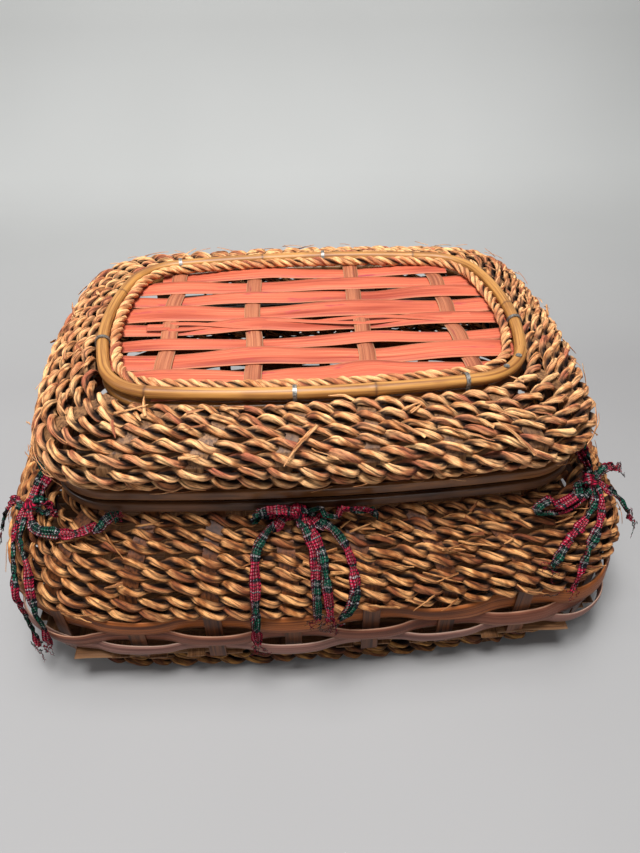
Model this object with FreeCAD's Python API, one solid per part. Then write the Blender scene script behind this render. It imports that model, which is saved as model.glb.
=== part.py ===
"""Low lidded basket: twined seagrass walls on flat stakes, a band of woven splint, a hooped lid.

All sizes are millimetres.  X runs left to right, -Y is the front and Z is up from the floor.
"""
import FreeCAD, Part
import math
import os

V = FreeCAD.Vector
UP = V(0, 0, 1)

# ---- plan outlines, each taken through the middle of the stakes -------------------------------
side_bow = 6.0              # how far every side curves outward between its corners
belly_half_width = 215.5    # widest part of the basket
belly_half_depth = 156.0
belly_corner = 72.0
mouth_half_width = 169.8    # where the lid meets the basket
mouth_half_depth = 118.0
mouth_corner = 40.0
foot_half_width = 191.0     # ring that the basket stands on
foot_half_depth = 145.0
foot_corner = 54.0
shoulder_half_width = 175.5     # widest part of the lid
shoulder_half_depth = 130.5
shoulder_corner = 47.0
hoop_half_width = 138.6     # centre line of the pole round the lid's panel
hoop_half_depth = 88.6
hoop_corner = 40.0

# ---- heights above the floor -----------------------------------------------------------------
splint_lift = 3.3           # from the underside of the base strips to the splint rows
body_rise = 64.3            # from the belly's top, where the wall starts to curve in, to the rim's
lid_gap = 3.2               # open seam between the two rims
shoulder_rise = 21.7        # from the lid rim's top to the lid's widest part
crown_rise = 20.2           # from there to the lid's stakes where they pass under the hoop
lean_at_mouth = math.radians(56)    # how far the basket's wall has turned in when it meets the rim
lean_at_lid_rim = math.radians(50)  # the same for the lid's wall above its own rim

# ---- materials -------------------------------------------------------------------------------
stake_width = 11.0
stake_thickness = 1.2
body_stake_count = 26
body_first_stake_x = -22.0
lid_stake_count = 22
lid_first_stake_x = -24.0
foot_stake_count = 24
foot_first_stake_x = -30.0
row_thickness = 5.0         # a twined row, from the stakes outward
row_edge = 2.0              # rounding of a row's corners
row_space = 0.35            # between one row and the next
foot_row_count = 3
foot_row_height = 8.9
body_row_count = 8
lid_row_count = 8
splint_row_count = 3
splint_height = 14.2
splint_thickness = 1.3
rim_height = 6.8
rim_outer_thickness = 3.6
rim_inner_thickness = 2.0
slack = 0.12                # free play left where flat strips pass round a corner
tie_space = 2.6             # room for a lashing cord between a rim and the first rope row

# ---- base ------------------------------------------------------------------------------------
base_spoke_width = 12.0
base_spoke_pitch = 25.0
base_strip_thickness = 1.3
base_lift = 0.3             # between the foot's top and the base strips
base_weaver_width = 14.0
base_weaver_pitch = 16.0

# ---- lid panel, hoops and their fastenings ---------------------------------------------------
hoop_radius = 4.0
under_hoop_radius = 3.2
panel_spokes = (-0.697, -0.287, 0.247, 0.712)   # shares of the hoop's half width
panel_spoke_width = 11.0
panel_spoke_thickness = 1.2
panel_weaver_thickness = 1.1
panel_play = 0.1            # between layers of the panel
# each weaver's middle and width as shares of the hoop's half depth, from front to back
panel_weavers = ((-0.887, 0.104), (-0.714, 0.213), (-0.478, 0.213), (-0.276, 0.150),
                 (-0.040, 0.173), (0.173, 0.230), (0.392, 0.179), (0.593, 0.202), (0.806, 0.190))
panel_twine_row = 4         # the weaver that two narrow strips are twined along
panel_twine_width = 3.0
panel_twine_thickness = 1.0
panel_twine_reach = 8.0     # how far the twining runs past the outer spokes
inner_rope_radius = 3.2
nail_radius = 0.9
nail_head_radius = 1.9
nail_head_thickness = 0.8
nail_length = 7.0
nail_angles = (-34.0, -56.0)    # degrees round the front right corner
hoop_tie_thickness = 0.9    # wire staples that straddle the hoop
hoop_tie_width = 2.5
hoop_tie_fit = 0.15
hoop_tie_stations = (0.045, 0.30, 0.44, 0.60, 0.80, 0.93)   # share of the way round the hoop

# ---- hinge lashings at the back --------------------------------------------------------------
lash_radius = 1.0
lash_spread = 84.0          # each side of the middle
lash_fit = 0.45
lash_bend = 2.2             # middle-line radius of a lashing where it turns round the rim

# ---- cloth bows ------------------------------------------------------------------------------
strip_width = 10.0          # torn cotton strip
strip_thickness = 0.8
strip_step = 9.0            # longest straight piece of a strip
strip_stand_off = 2.2       # first layer of strips above the ropes
strip_layer = 1.5           # each further layer
loop_thickness = 3.0
knot_radius = 6.5
knot_depth = 4.0            # half the knot's thickness
# Places are (run, drop, lift): distance round the mouth from the middle of the front, distance
# down the outside from the rim's top, and how far the cloth stands off beyond its own layer.
bows = {
    "front": {
        "knot": (-16, 3),
        "loops": [[(-24, 1, 5), (-34, 1, 6), (-43, 5, 7), (-40, 11, 7), (-30, 11, 6), (-24, 6, 5)],
                  [(-8, 0, 6), (8, 1, 7), (22, 5, 8), (27, 11, 8), (14, 13, 7), (-8, 7, 6)]],
        "tails": [[(-25, 17, 2), (-36, 25, 2), (-42, 38, 1), (-43, 60, 0), (-44, 88, 0), (-44, 114, 0)],
                  [(-17, 19, 2), (-12, 36, 1), (-13, 56, 0), (-14, 82, 0)],
                  [(-6, 20, 0), (1, 26, 0), (5, 38, 0), (5, 54, 0), (2, 70, 0), (-5, 83, 0)]]},
    "left": {
        "knot": (-176, 34),
        "loops": [[(-182, 24, 8), (-196, 10, 10), (-199, -6, 12), (-188, -10, 12), (-177, 10, 10)],
                  [(-170, 23, 8), (-160, 13, 9), (-153, 16, 9), (-156, 23, 9), (-168, 28, 8)]],
        "tails": [[(-164, 38, 0), (-150, 31, 1), (-136, 26, 3), (-128, 16, 4), (-122, 6, 4)],
                  [(-187, 40, 0), (-198, 46, 0), (-206, 58, 0), (-204, 74, 0)],
                  [(-177, 45, 0), (-165, 57, 0), (-160, 80, 0), (-160, 104, 0), (-160, 132, 0)],
                  [(-168, 44, 0), (-154, 55, 0), (-147, 76, 0), (-146, 98, 0), (-148, 116, 0)]]},
    "right": {
        "knot": (159, 26),
        "loops": [[(151, 21, 5), (136, 17, 6), (118, 20, 7), (112, 27, 7), (128, 31, 6), (150, 28, 5)],
                  [(167, 21, 5), (178, 8, 8), (190, 4, 9), (195, 12, 9), (184, 21, 7), (169, 27, 5)]],
        "tails": [[(149, 35, 0), (136, 39, 0), (118, 46, 0), (102, 60, 0)],
                  [(152, 38, 0), (134, 48, 0), (120, 58, 0), (108, 78, 0)],
                  [(160, 38, 0), (163, 48, 0), (161, 58, 0), (164, 70, 0)],
                  [(171, 32, 0), (180, 40, 1), (188, 54, 2)]]},
}

os.makedirs("parts", exist_ok=True)


class Oval:
    """A rounded rectangle with bowed sides: eight arcs, each tangent to the next."""

    def __init__(self, half_width, half_depth, corner):
        self.half_width = half_width
        self.half_depth = half_depth
        self.corner = corner

    def blend(self, other, share):
        def mix(name):
            return getattr(self, name) * (1 - share) + getattr(other, name) * share
        return Oval(mix("half_width"), mix("half_depth"), mix("corner"))

    def grown(self, distance):
        """The parallel outline: every radius grows and every centre stays."""
        return Oval(self.half_width + distance, self.half_depth + distance, self.corner + distance)

    def arcs(self):
        """(centre x, centre y, radius, start, end) anticlockwise from the right side's front end."""
        reach = self.corner + side_bow
        cx = self.half_width - reach
        cy = self.half_depth - reach
        right = (reach ** 2 + cy ** 2 - self.corner ** 2) / (2 * side_bow)
        back = (reach ** 2 + cx ** 2 - self.corner ** 2) / (2 * side_bow)
        first = math.atan2(cy, right - reach)
        second = math.atan2(back - reach, cx)
        half_turn = [(self.half_width - right, 0.0, right, -first, first),
                     (cx, cy, self.corner, first, second),
                     (0.0, self.half_depth - back, back, second, math.pi - second),
                     (-cx, cy, self.corner, math.pi - second, math.pi - first)]
        return half_turn + [(-x, -y, r, a + math.pi, b + math.pi) for x, y, r, a, b in half_turn]

    def length(self):
        return sum(radius * (end - start) for _, _, radius, start, end in self.arcs())

    def station(self, share):
        """The point and outward direction a share of the way round."""
        left = (share % 1.0) * self.length()
        for cx, cy, radius, start, end in self.arcs():
            span = radius * (end - start)
            if left <= span:
                break
            left -= span
        angle = start + min(left, span) / radius
        out = V(math.cos(angle), math.sin(angle), 0)
        return V(cx, cy, 0) + out * radius, out

    def front_share(self, x):
        """Share of the way round at which the front side reaches x."""
        cx, cy, radius, start, end = self.arcs()[6]
        before = sum(r * (b - a) for _, _, r, a, b in self.arcs()[:6])
        return (before + radius * (3 * math.pi / 2 + math.asin(x / radius) - start)) / self.length()

    def half_width_at(self, y):
        """Half the outline's width at a depth y."""
        right_x, _, right_r, _, top = self.arcs()[0]
        cx, cy, corner, _, side = self.arcs()[1]
        _, back_y, back_r, _, _ = self.arcs()[2]
        if abs(y) <= right_r * math.sin(top):
            return right_x + math.sqrt(right_r ** 2 - y ** 2)
        if abs(y) >= cy + corner * math.sin(side):
            return math.sqrt(max(back_r ** 2 - (abs(y) - back_y) ** 2, 0.0))
        return cx + math.sqrt(max(corner ** 2 - (abs(y) - cy) ** 2, 0.0))

    def half_depth_at(self, x):
        """Half the outline's depth at a width x."""
        _, back_y, back_r, side, _ = self.arcs()[2]
        cx, cy, corner, top, _ = self.arcs()[1]
        right_x, _, right_r, _, _ = self.arcs()[0]
        if abs(x) <= back_r * math.cos(side):
            return back_y + math.sqrt(back_r ** 2 - x ** 2)
        if abs(x) >= cx + corner * math.cos(top):
            return math.sqrt(max(right_r ** 2 - (abs(x) - right_x) ** 2, 0.0))
        return cy + math.sqrt(max(corner ** 2 - (abs(x) - cx) ** 2, 0.0))


belly = Oval(belly_half_width, belly_half_depth, belly_corner)
mouth = Oval(mouth_half_width, mouth_half_depth, mouth_corner)
foot = Oval(foot_half_width, foot_half_depth, foot_corner)
shoulder = Oval(shoulder_half_width, shoulder_half_depth, shoulder_corner)
hoop = Oval(hoop_half_width, hoop_half_depth, hoop_corner)

weave_gap = stake_width ** 2 / (8 * min(mouth_corner, hoop_corner)) + slack
row_offset = stake_thickness / 2 + weave_gap + row_thickness / 2
foot_top = foot_row_count * (foot_row_height + row_space)
base_bottom = foot_top + base_lift
splint_bottom = base_bottom + splint_lift
belly_top = splint_bottom + splint_row_count * (splint_height + row_space)
body_rim_top = belly_top + body_rise
body_rim_bottom = body_rim_top - rim_height
lid_rim_bottom = body_rim_top + lid_gap
lid_rim_top = lid_rim_bottom + rim_height
shoulder_height = lid_rim_top + shoulder_rise
crown_height = shoulder_height + crown_rise
row_outside = row_offset + row_thickness / 2
body_wall_top = body_rim_bottom - tie_space - row_outside * math.sin(lean_at_mouth)
lid_wall_bottom = lid_rim_top + tie_space + row_outside * math.sin(lean_at_lid_rim)


class Wall:
    """A wall's middle surface: outlines at rising heights, addressed by distance up the wall."""

    def __init__(self, levels):
        self.levels = levels
        self.marks = [0.0]
        for (low, z0), (high, z1) in zip(levels, levels[1:]):
            step = math.hypot(self.reach(high) - self.reach(low), z1 - z0)
            self.marks.append(self.marks[-1] + step)
        self.length = self.marks[-1]

    @staticmethod
    def reach(oval):
        return (oval.half_width + oval.half_depth) / 2

    def at(self, distance):
        """Outline, height, and the tilt of the outward direction above level."""
        index = 1
        while index < len(self.marks) - 1 and self.marks[index] < distance:
            index += 1
        (low, z0), (high, z1) = self.levels[index - 1], self.levels[index]
        share = (distance - self.marks[index - 1]) / (self.marks[index] - self.marks[index - 1])
        tilt = math.atan2(self.reach(low) - self.reach(high), z1 - z0)
        return low.blend(high, share), z0 + (z1 - z0) * share, tilt


def curve_in(outer, inner, low, high, lean, steps=14):
    """Levels from upright at the outer outline, leaning in by the given angle at the inner one."""
    levels = []
    for step in range(steps + 1):
        angle = lean * step / steps
        share = (1 - math.cos(angle)) / (1 - math.cos(lean))
        rise = math.sin(angle) / math.sin(lean)
        levels.append((outer.blend(inner, share), low + (high - low) * rise))
    return levels


body_wall = Wall(curve_in(belly, mouth, belly_top, body_wall_top, lean_at_mouth))
lid_tuck = curve_in(shoulder, mouth, shoulder_height, lid_wall_bottom, lean_at_lid_rim)
lid_crown = curve_in(shoulder, hoop, shoulder_height, crown_height, math.pi / 2)
lid_wall = Wall(lid_tuck[::-1] + lid_crown[1:])


# ---- shape helpers ---------------------------------------------------------------------------
def solid_from(faces):
    """One closed solid from faces that meet edge to edge."""
    shell = Part.makeShell(faces)
    shell.sewShape()
    solid = Part.makeSolid(Part.makeShell(shell.Faces))
    if solid.Volume < 0:
        solid.reverse()
    return solid


def ring(oval, height, section):
    """A closed section, drawn in XZ about the origin, carried round an outline."""
    faces = []
    for cx, cy, radius, start, end in oval.arcs():
        wire = section.copy()
        wire.translate(V(radius, 0, height))
        wire.rotate(V(0, 0, 0), UP, math.degrees(start))
        wire.translate(V(cx, cy, 0))
        faces += wire.revolve(V(cx, cy, 0), UP, math.degrees(end - start)).Faces
    return solid_from(faces)


def block_section(thickness, height, edge, tilt=0.0):
    """A rounded rectangle in XZ, turned so that its outer face leans back by the tilt."""
    box = Part.makeBox(thickness, 1, height, V(-thickness / 2, 0, -height / 2))
    front = [face for face in box.Faces if face.CenterOfMass.y < 1e-6][0]
    wire = front.OuterWire
    if edge:
        upright = [e for e in box.Edges if abs(e.Vertexes[0].Y - e.Vertexes[1].Y) > 0.5]
        box = box.makeFillet(edge, upright)
        wire = [face for face in box.Faces if face.CenterOfMass.y < 1e-6][0].OuterWire
    wire.rotate(V(0, 0, 0), V(0, 1, 0), -math.degrees(tilt))
    return wire


def round_section(radius):
    return Part.Wire(Part.makeCircle(radius, V(0, 0, 0), V(0, 1, 0)))


def strip(sections):
    """A flat strip through (centre, across, through) sections, with straight runs between them."""
    wires = []
    for centre, across, through in sections:
        corners = [centre + across + through, centre - across + through,
                   centre - across - through, centre + across - through]
        wires.append(Part.makePolygon(corners + corners[:1]))
    return Part.makeLoft(wires, True, True)


def twined_row(wall_oval, height, tilt, row_height):
    """One rope row lying against the outside of the stakes."""
    seat = wall_oval.grown(row_offset * math.cos(tilt))
    edge = min(row_edge, 0.45 * row_thickness, 0.45 * row_height)
    section = block_section(row_thickness, row_height, edge, tilt)
    return ring(seat, height + row_offset * math.sin(tilt), section)


def band(oval, offset, bottom, height, thickness, edge=0.0):
    """An upright strip bent round an outline, its middle at the offset from it."""
    return ring(oval.grown(offset), bottom + height / 2, block_section(thickness, height, edge))


def stake(share, levels):
    """One flat stake following the wall at a share of the way round."""
    sections = []
    for oval, height, tilt in levels:
        point, out = oval.station(share)
        through = out * math.cos(tilt) + UP * math.sin(tilt)
        sections.append((point + UP * height, UP.cross(out) * (stake_width / 2),
                         through * (stake_thickness / 2)))
    return strip(sections)


def side_of(oval, share):
    """Which side of the basket a station faces, or corners."""
    _, out = oval.station(share)
    if max(abs(out.x), abs(out.y)) < math.cos(math.radians(15)):
        return "corners"
    if abs(out.x) > abs(out.y):
        return "right" if out.x > 0 else "left"
    return "back" if out.y > 0 else "front"


nodes = {}


def add(name, *solids):
    nodes.setdefault(name, []).extend(solids)


# ---- foot: three rope rows on short stakes ---------------------------------------------------
for row in range(foot_row_count):
    middle = (row + 0.5) * foot_row_height + row * row_space
    add("foot_rope_row_%d" % (row + 1), twined_row(foot, middle, 0.0, foot_row_height))
foot_stake_ends = ((foot, row_space, 0.0), (foot, foot_top - row_space, 0.0))
for index in range(foot_stake_count):
    share = foot.front_share(foot_first_stake_x) + index / foot_stake_count
    add("foot_stakes", stake(share, foot_stake_ends))

# ---- base: woven strips inside the wall, lying on the foot -----------------------------------
base_edge = belly.grown(-stake_thickness / 2 - weave_gap)
weaver_bottom = base_bottom + base_strip_thickness + base_lift
spoke_reach = base_edge.half_width - base_spoke_pitch / 2
spoke_count = int(2 * spoke_reach / base_spoke_pitch) + 1
for index in range(spoke_count):
    x = (index - (spoke_count - 1) / 2) * base_spoke_pitch
    half = base_edge.half_depth_at(abs(x) + base_spoke_width / 2)
    add("base_spokes", Part.makeBox(base_spoke_width, 2 * half, base_strip_thickness,
                                    V(x - base_spoke_width / 2, -half, base_bottom)))
weaver_reach = base_edge.half_depth - base_weaver_pitch / 2
weaver_count = int(2 * weaver_reach / base_weaver_pitch) + 1
for index in range(weaver_count):
    y = (index - (weaver_count - 1) / 2) * base_weaver_pitch
    half = base_edge.half_width_at(abs(y) + base_weaver_width / 2)
    add("base_weavers", Part.makeBox(2 * half, base_weaver_width, base_strip_thickness,
                                     V(-half, y - base_weaver_width / 2, weaver_bottom)))
base_top = weaver_bottom + base_strip_thickness

# ---- body wall: splint rows, rope rows and the stakes behind them ----------------------------
splint_offset = stake_thickness / 2 + weave_gap + splint_thickness / 2
for row in range(splint_row_count):
    bottom = splint_bottom + row * (splint_height + row_space)
    add("splint_row_%d" % (row + 1),
        band(belly, splint_offset, bottom, splint_height, splint_thickness))
body_pitch = body_wall.length / body_row_count
for row in range(body_row_count):
    oval, height, tilt = body_wall.at((row + 0.5) * body_pitch)
    add("body_rope_row_%d" % (row + 1), twined_row(oval, height, tilt, body_pitch - row_space))
body_stake_levels = [(belly, base_bottom, 0.0)]
body_stake_levels += [body_wall.at(row * body_pitch) for row in range(body_row_count + 1)]
body_stake_levels += [(mouth, body_rim_bottom, 0.0), (mouth, body_rim_top - row_space, 0.0)]
for index in range(body_stake_count):
    share = belly.front_share(body_first_stake_x) + index / body_stake_count
    add("body_stakes_" + side_of(belly, share), stake(share, body_stake_levels))

# ---- rims of the basket and of the lid -------------------------------------------------------
rim_outer_offset = stake_thickness / 2 + weave_gap + rim_outer_thickness / 2
rim_inner_offset = -(stake_thickness / 2 + weave_gap + rim_inner_thickness / 2)
for name, bottom in (("body", body_rim_bottom), ("lid", lid_rim_bottom)):
    add(name + "_rim_outer",
        band(mouth, rim_outer_offset, bottom, rim_height, rim_outer_thickness, 1.2))
    add(name + "_rim_inner", band(mouth, rim_inner_offset, bottom, rim_height, rim_inner_thickness))

# ---- lid wall --------------------------------------------------------------------------------
beside_hoop = hoop_radius + 2 * hoop_tie_fit + hoop_tie_thickness
lid_rows_end = lid_wall.length - beside_hoop
lid_pitch = lid_rows_end / lid_row_count
for row in range(lid_row_count):
    oval, height, tilt = lid_wall.at((row + 0.5) * lid_pitch)
    add("lid_rope_row_%d" % (row + 1), twined_row(oval, height, tilt, lid_pitch - row_space))
lid_stake_levels = [(mouth, lid_rim_bottom + row_space, 0.0), (mouth, lid_rim_top, 0.0)]
lid_stake_levels += [lid_wall.at(row * lid_pitch) for row in range(lid_row_count + 1)]
for index in range(lid_stake_count):
    share = shoulder.front_share(lid_first_stake_x) + index / lid_stake_count
    add("lid_stakes_" + side_of(shoulder, share), stake(share, lid_stake_levels))

# ---- lid panel: hoop, under hoop, strips, inner rope -----------------------------------------
hoop_height = crown_height + stake_thickness / 2 + slack + hoop_radius
weavers_top = hoop_height - hoop_radius - panel_play
spokes_top = weavers_top - panel_weaver_thickness - panel_play
under_hoop_top = spokes_top - panel_spoke_thickness - panel_play
add("under_hoop", ring(hoop, under_hoop_top - under_hoop_radius, round_section(under_hoop_radius)))
for place, share in panel_weavers:
    middle = place * hoop_half_depth
    width = share * hoop_half_depth
    half = hoop.half_width_at(abs(middle) + width / 2)
    add("panel_weavers", Part.makeBox(2 * half, width, panel_weaver_thickness,
                                      V(-half, middle - width / 2,
                                        weavers_top - panel_weaver_thickness)))
for place in panel_spokes:
    x = place * hoop_half_width
    half = hoop.half_depth_at(abs(x) + panel_spoke_width / 2)
    add("panel_spokes", Part.makeBox(panel_spoke_width, 2 * half, panel_spoke_thickness,
                                     V(x - panel_spoke_width / 2, -half,
                                       spokes_top - panel_spoke_thickness)))
twine_middle = panel_weavers[panel_twine_row][0] * hoop_half_depth
twine_half = max(panel_spokes) * hoop_half_width + panel_spoke_width / 2 + panel_twine_reach
for side in (-1, 1):
    y = twine_middle + side * (panel_twine_width / 2 + slack)
    add("panel_twining", Part.makeBox(2 * twine_half, panel_twine_width, panel_twine_thickness,
                                      V(-twine_half, y - panel_twine_width / 2,
                                        weavers_top + panel_play)))
inner_rope_line = hoop.grown(-(beside_hoop + inner_rope_radius))
inner_rope_height = weavers_top + panel_play + panel_twine_thickness + inner_rope_radius
add("top_inner_rope", ring(inner_rope_line, inner_rope_height, round_section(inner_rope_radius)))

# ---- the hoop with the nails through its lapped ends, and the staples over it ----------------
corner_x = hoop_half_width - hoop_corner - side_bow
corner_y = -(hoop_half_depth - hoop_corner - side_bow)
pole = ring(hoop, hoop_height, round_section(hoop_radius))
for angle in nail_angles:
    out = V(math.cos(math.radians(angle)), math.sin(math.radians(angle)), 0)
    seat = V(corner_x, corner_y, hoop_height) + out * hoop_corner
    top = seat + UP * (hoop_radius - nail_head_thickness / 2)
    shank = Part.makeCylinder(nail_radius, nail_length, top - UP * nail_length, UP)
    head = Part.makeCylinder(nail_head_radius, nail_head_thickness, top, UP)
    nail = shank.fuse(head).removeSplitter()
    pole = pole.cut(nail)
    add("hoop_nails", nail)
add("top_hoop", pole.Solids[0])
leg_end = weavers_top + panel_play
for share in hoop_tie_stations:
    point, out = hoop.station(share)
    shells = []
    for reach in (hoop_radius + hoop_tie_fit + hoop_tie_thickness, hoop_radius + hoop_tie_fit):
        arch = Part.makeCylinder(reach, hoop_tie_width, V(0, -hoop_tie_width / 2, hoop_height),
                                 V(0, 1, 0))
        legs = Part.makeBox(2 * reach, hoop_tie_width, hoop_height - leg_end,
                            V(-reach, -hoop_tie_width / 2, leg_end))
        shells.append(arch.fuse(legs))
    tie = shells[0].cut(shells[1])
    below = Part.makeBox(40, 40, 40, V(-20, -20, leg_end - 40))
    tie = tie.cut(below).removeSplitter()
    tie.rotate(V(0, 0, 0), UP, math.degrees(math.atan2(out.y, out.x)))
    tie.translate(V(point.x, point.y, 0))
    add("hoop_ties", tie.Solids[0])


# ---- hinge: a cord lashing round each rim, side by side so that they cross in the seam -------
def lashing(x, bottom):
    """A cord loop round one rim at the back of the mouth."""
    line = mouth.half_depth_at(x)
    inside = line + rim_inner_offset - rim_inner_thickness / 2 - lash_fit - lash_radius
    outside = line + rim_outer_offset + rim_outer_thickness / 2 + lash_fit + lash_radius
    low = bottom - lash_fit - lash_radius
    high = bottom + rim_height + lash_fit + lash_radius
    frame = Part.makeBox(2, outside - inside, high - low, V(x - 1, inside, low))
    across = [e for e in frame.Edges if abs(e.Vertexes[0].X - e.Vertexes[1].X) > 1]
    frame = frame.makeFillet(lash_bend, across)
    face = [f for f in frame.Faces if f.CenterOfMass.x > x + 0.999][0]
    path = face.OuterWire
    path.translate(V(-1, 0, 0))
    start = V(x, (inside + outside) / 2, high)
    section = Part.Wire(Part.makeCircle(lash_radius, start, V(0, 1, 0)))
    first = [e for e in path.Edges if abs(e.CenterOfMass.z - high) < 1e-6][0]
    rest = [e for e in path.Edges if not e.isSame(first)]
    half_a = Part.makeLine(start, first.Vertexes[-1].Point)
    half_b = Part.makeLine(first.Vertexes[0].Point, start)
    ordered = Part.Wire(Part.__sortEdges__([half_a] + rest + [half_b]))
    loop = ordered.makePipeShell([section], True, False, 1)
    return loop.Solids[0]


lash_step = lash_radius + lash_fit / 2
for side, name in ((-1, "left"), (1, "right")):
    add("lid_lashing_" + name, lashing(side * lash_spread - lash_step, lid_rim_bottom))
    add("body_lashing_" + name, lashing(side * lash_spread + lash_step, body_rim_bottom))
pivot_y = (mouth.half_depth_at(lash_spread) + rim_outer_offset + rim_outer_thickness / 2
           + lash_fit + lash_radius)
print("hinge pivot: y %.3f  z %.3f" % (pivot_y, body_rim_top + lid_gap / 2))

# ---- cloth bows, each tied round the basket's rim --------------------------------------------
rope_face = []
for oval, height in body_wall.levels:
    tilt = body_wall.at(body_wall.marks[len(rope_face)])[2]
    rope_face.append((oval.grown(row_outside * math.cos(tilt)), height + row_outside * math.sin(tilt)))
rim_face = mouth.grown(rim_outer_offset + rim_outer_thickness / 2)
foot_face = foot.grown(row_outside)
outside = Wall([(foot_face, 0.0), (foot_face, foot_top), (belly.grown(row_outside), base_bottom)]
               + rope_face + [(rim_face, body_rim_bottom), (rim_face, body_rim_top)])


def on_wall(run, drop, lift):
    """The point that far round, down and off the outside of the basket, and the outward way."""
    distance = outside.length - drop
    oval, height, _ = outside.at(distance)
    tilt = sum(outside.at(distance + step)[2] for step in (-strip_width, 0, strip_width)) / 3
    point, out = oval.station(mouth.front_share(0.0) + run / mouth.length())
    outward = out * math.cos(tilt) + UP * math.sin(tilt)
    return point + UP * height + outward * lift, outward


def cloth_strip(places, layer):
    """A flat strip of cloth through the places, lying on the wall."""
    fine = []
    for first, last in zip(places, places[1:]):
        pieces = max(1, math.ceil(math.dist(first, last) / strip_step))
        fine += [[a + (b - a) * k / pieces for a, b in zip(first, last)] for k in range(pieces)]
    fine.append(places[-1])
    stand = strip_stand_off + layer * strip_layer
    points = [on_wall(run, drop, lift + stand) for run, drop, lift in fine]
    sections = []
    for index, (point, outward) in enumerate(points):
        ahead = points[min(index + 1, len(points) - 1)][0] - points[max(index - 1, 0)][0]
        side = ahead.cross(outward).normalize()
        sections.append((point, side * (strip_width / 2), outward * (strip_thickness / 2)))
    return strip(sections)


def cloth_loop(places):
    """The flat outer shape of a bow's loop, as thick as the cloth on both its sides."""
    run, drop, lift = (sum(values) / len(places) for values in zip(*places))
    middle, outward = on_wall(run, drop, lift + strip_stand_off)
    along = UP.cross(outward).normalize()
    down = along.cross(outward)
    spread = outside.at(outside.length - drop)[0].length() / mouth.length()
    flat = [middle + along * ((r - run) * spread) + down * (d - drop) for r, d, _ in places]
    face = Part.Face(Part.makePolygon(flat + flat[:1]))
    pad = face.extrude(outward * loop_thickness)
    return pad.Solids[0]


for name, bow in bows.items():
    run, drop = bow["knot"]
    centre, outward = on_wall(run, drop, knot_depth + strip_stand_off)
    knot = Part.makeSphere(knot_radius)
    squash = FreeCAD.Matrix()
    squash.scale(1, 1, knot_depth / knot_radius)
    knot = knot.transformGeometry(squash)
    knot.Placement = FreeCAD.Placement(centre, FreeCAD.Rotation(UP, outward))
    add("bow_%s_knot" % name, knot)
    for loop in bow["loops"]:
        add("bow_%s_loops" % name, cloth_loop(loop))
    for layer, tail in enumerate(bow["tails"]):
        add("bow_%s_tails" % name, cloth_strip(tail, layer))

for name, solids in nodes.items():
    shape = solids[0] if len(solids) == 1 else Part.makeCompound(solids)
    shape.exportStep("parts/%s.step" % name)
    bad = [s for s in solids if not s.isValid() or s.Volume <= 0 or len(s.Solids) != 1]
    box = shape.BoundBox
    print("%-24s %3d solids  %9.0f mm3  bad %d  z %.1f..%.1f" %
          (name, len(solids), shape.Volume, len(bad), box.ZMin, box.ZMax))
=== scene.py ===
"""A low wicker basket with a hooped lid: twined seagrass, woven splint, rattan and cloth bows."""
import math
import bpy
import numpy as np
from mathutils import Matrix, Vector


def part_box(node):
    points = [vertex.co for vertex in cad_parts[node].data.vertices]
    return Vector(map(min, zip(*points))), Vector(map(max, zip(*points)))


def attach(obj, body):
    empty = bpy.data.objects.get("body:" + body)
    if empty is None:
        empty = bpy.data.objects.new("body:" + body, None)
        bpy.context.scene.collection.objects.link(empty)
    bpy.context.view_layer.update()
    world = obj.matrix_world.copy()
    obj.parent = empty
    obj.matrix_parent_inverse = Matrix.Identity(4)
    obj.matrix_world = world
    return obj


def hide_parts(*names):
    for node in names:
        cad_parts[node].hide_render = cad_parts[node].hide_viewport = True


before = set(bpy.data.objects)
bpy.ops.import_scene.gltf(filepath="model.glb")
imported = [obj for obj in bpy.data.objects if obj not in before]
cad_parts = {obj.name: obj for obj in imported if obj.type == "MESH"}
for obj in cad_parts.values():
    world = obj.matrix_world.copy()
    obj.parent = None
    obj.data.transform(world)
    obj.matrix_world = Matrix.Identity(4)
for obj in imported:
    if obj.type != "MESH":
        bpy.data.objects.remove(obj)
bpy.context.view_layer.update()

# ---- Room: a pale light tent lit from overhead, with weak lamps in front and at the left -------
# A fourth lamp lights the back wall.  The camera stands in front of the basket and looks down on it
# with a wide lens.
CAMERA_PLACE = (-0.0207, -0.3912, 0.4269)
CAMERA_PITCH = 0.7039       # radians below level
CAMERA_YAW = 0.0691         # radians towards +X
CAMERA_ROLL = -0.0009
FOCAL_LENGTH = 27.34        # on a 36 mm long side
FLOOR_SIZE = 4.0
TENT_BACK = 0.62            # where the floor turns up into the back wall
TENT_BEND = 0.25
TENT_ROWS = 60
FLAT_SHARE, BENT_SHARE = 0.60, 0.15     # of the tent's rows on the floor and in the bend
WALL_HEIGHT = 2.0           # above the bend


def grid_faces(rows, columns, close_rows=False, close_columns=False):
    """Corner numbers of every quad on a grid of points, wrapped where the grid is closed."""
    row = np.arange(rows if close_rows else rows - 1)[:, None]
    column = np.arange(columns if close_columns else columns - 1)[None, :]
    next_row, next_column = (row + 1) % rows, (column + 1) % columns
    return np.stack([row * columns + column, next_row * columns + column,
                     next_row * columns + next_column, row * columns + next_column],
                    axis=-1).reshape(-1, 4)


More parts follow.
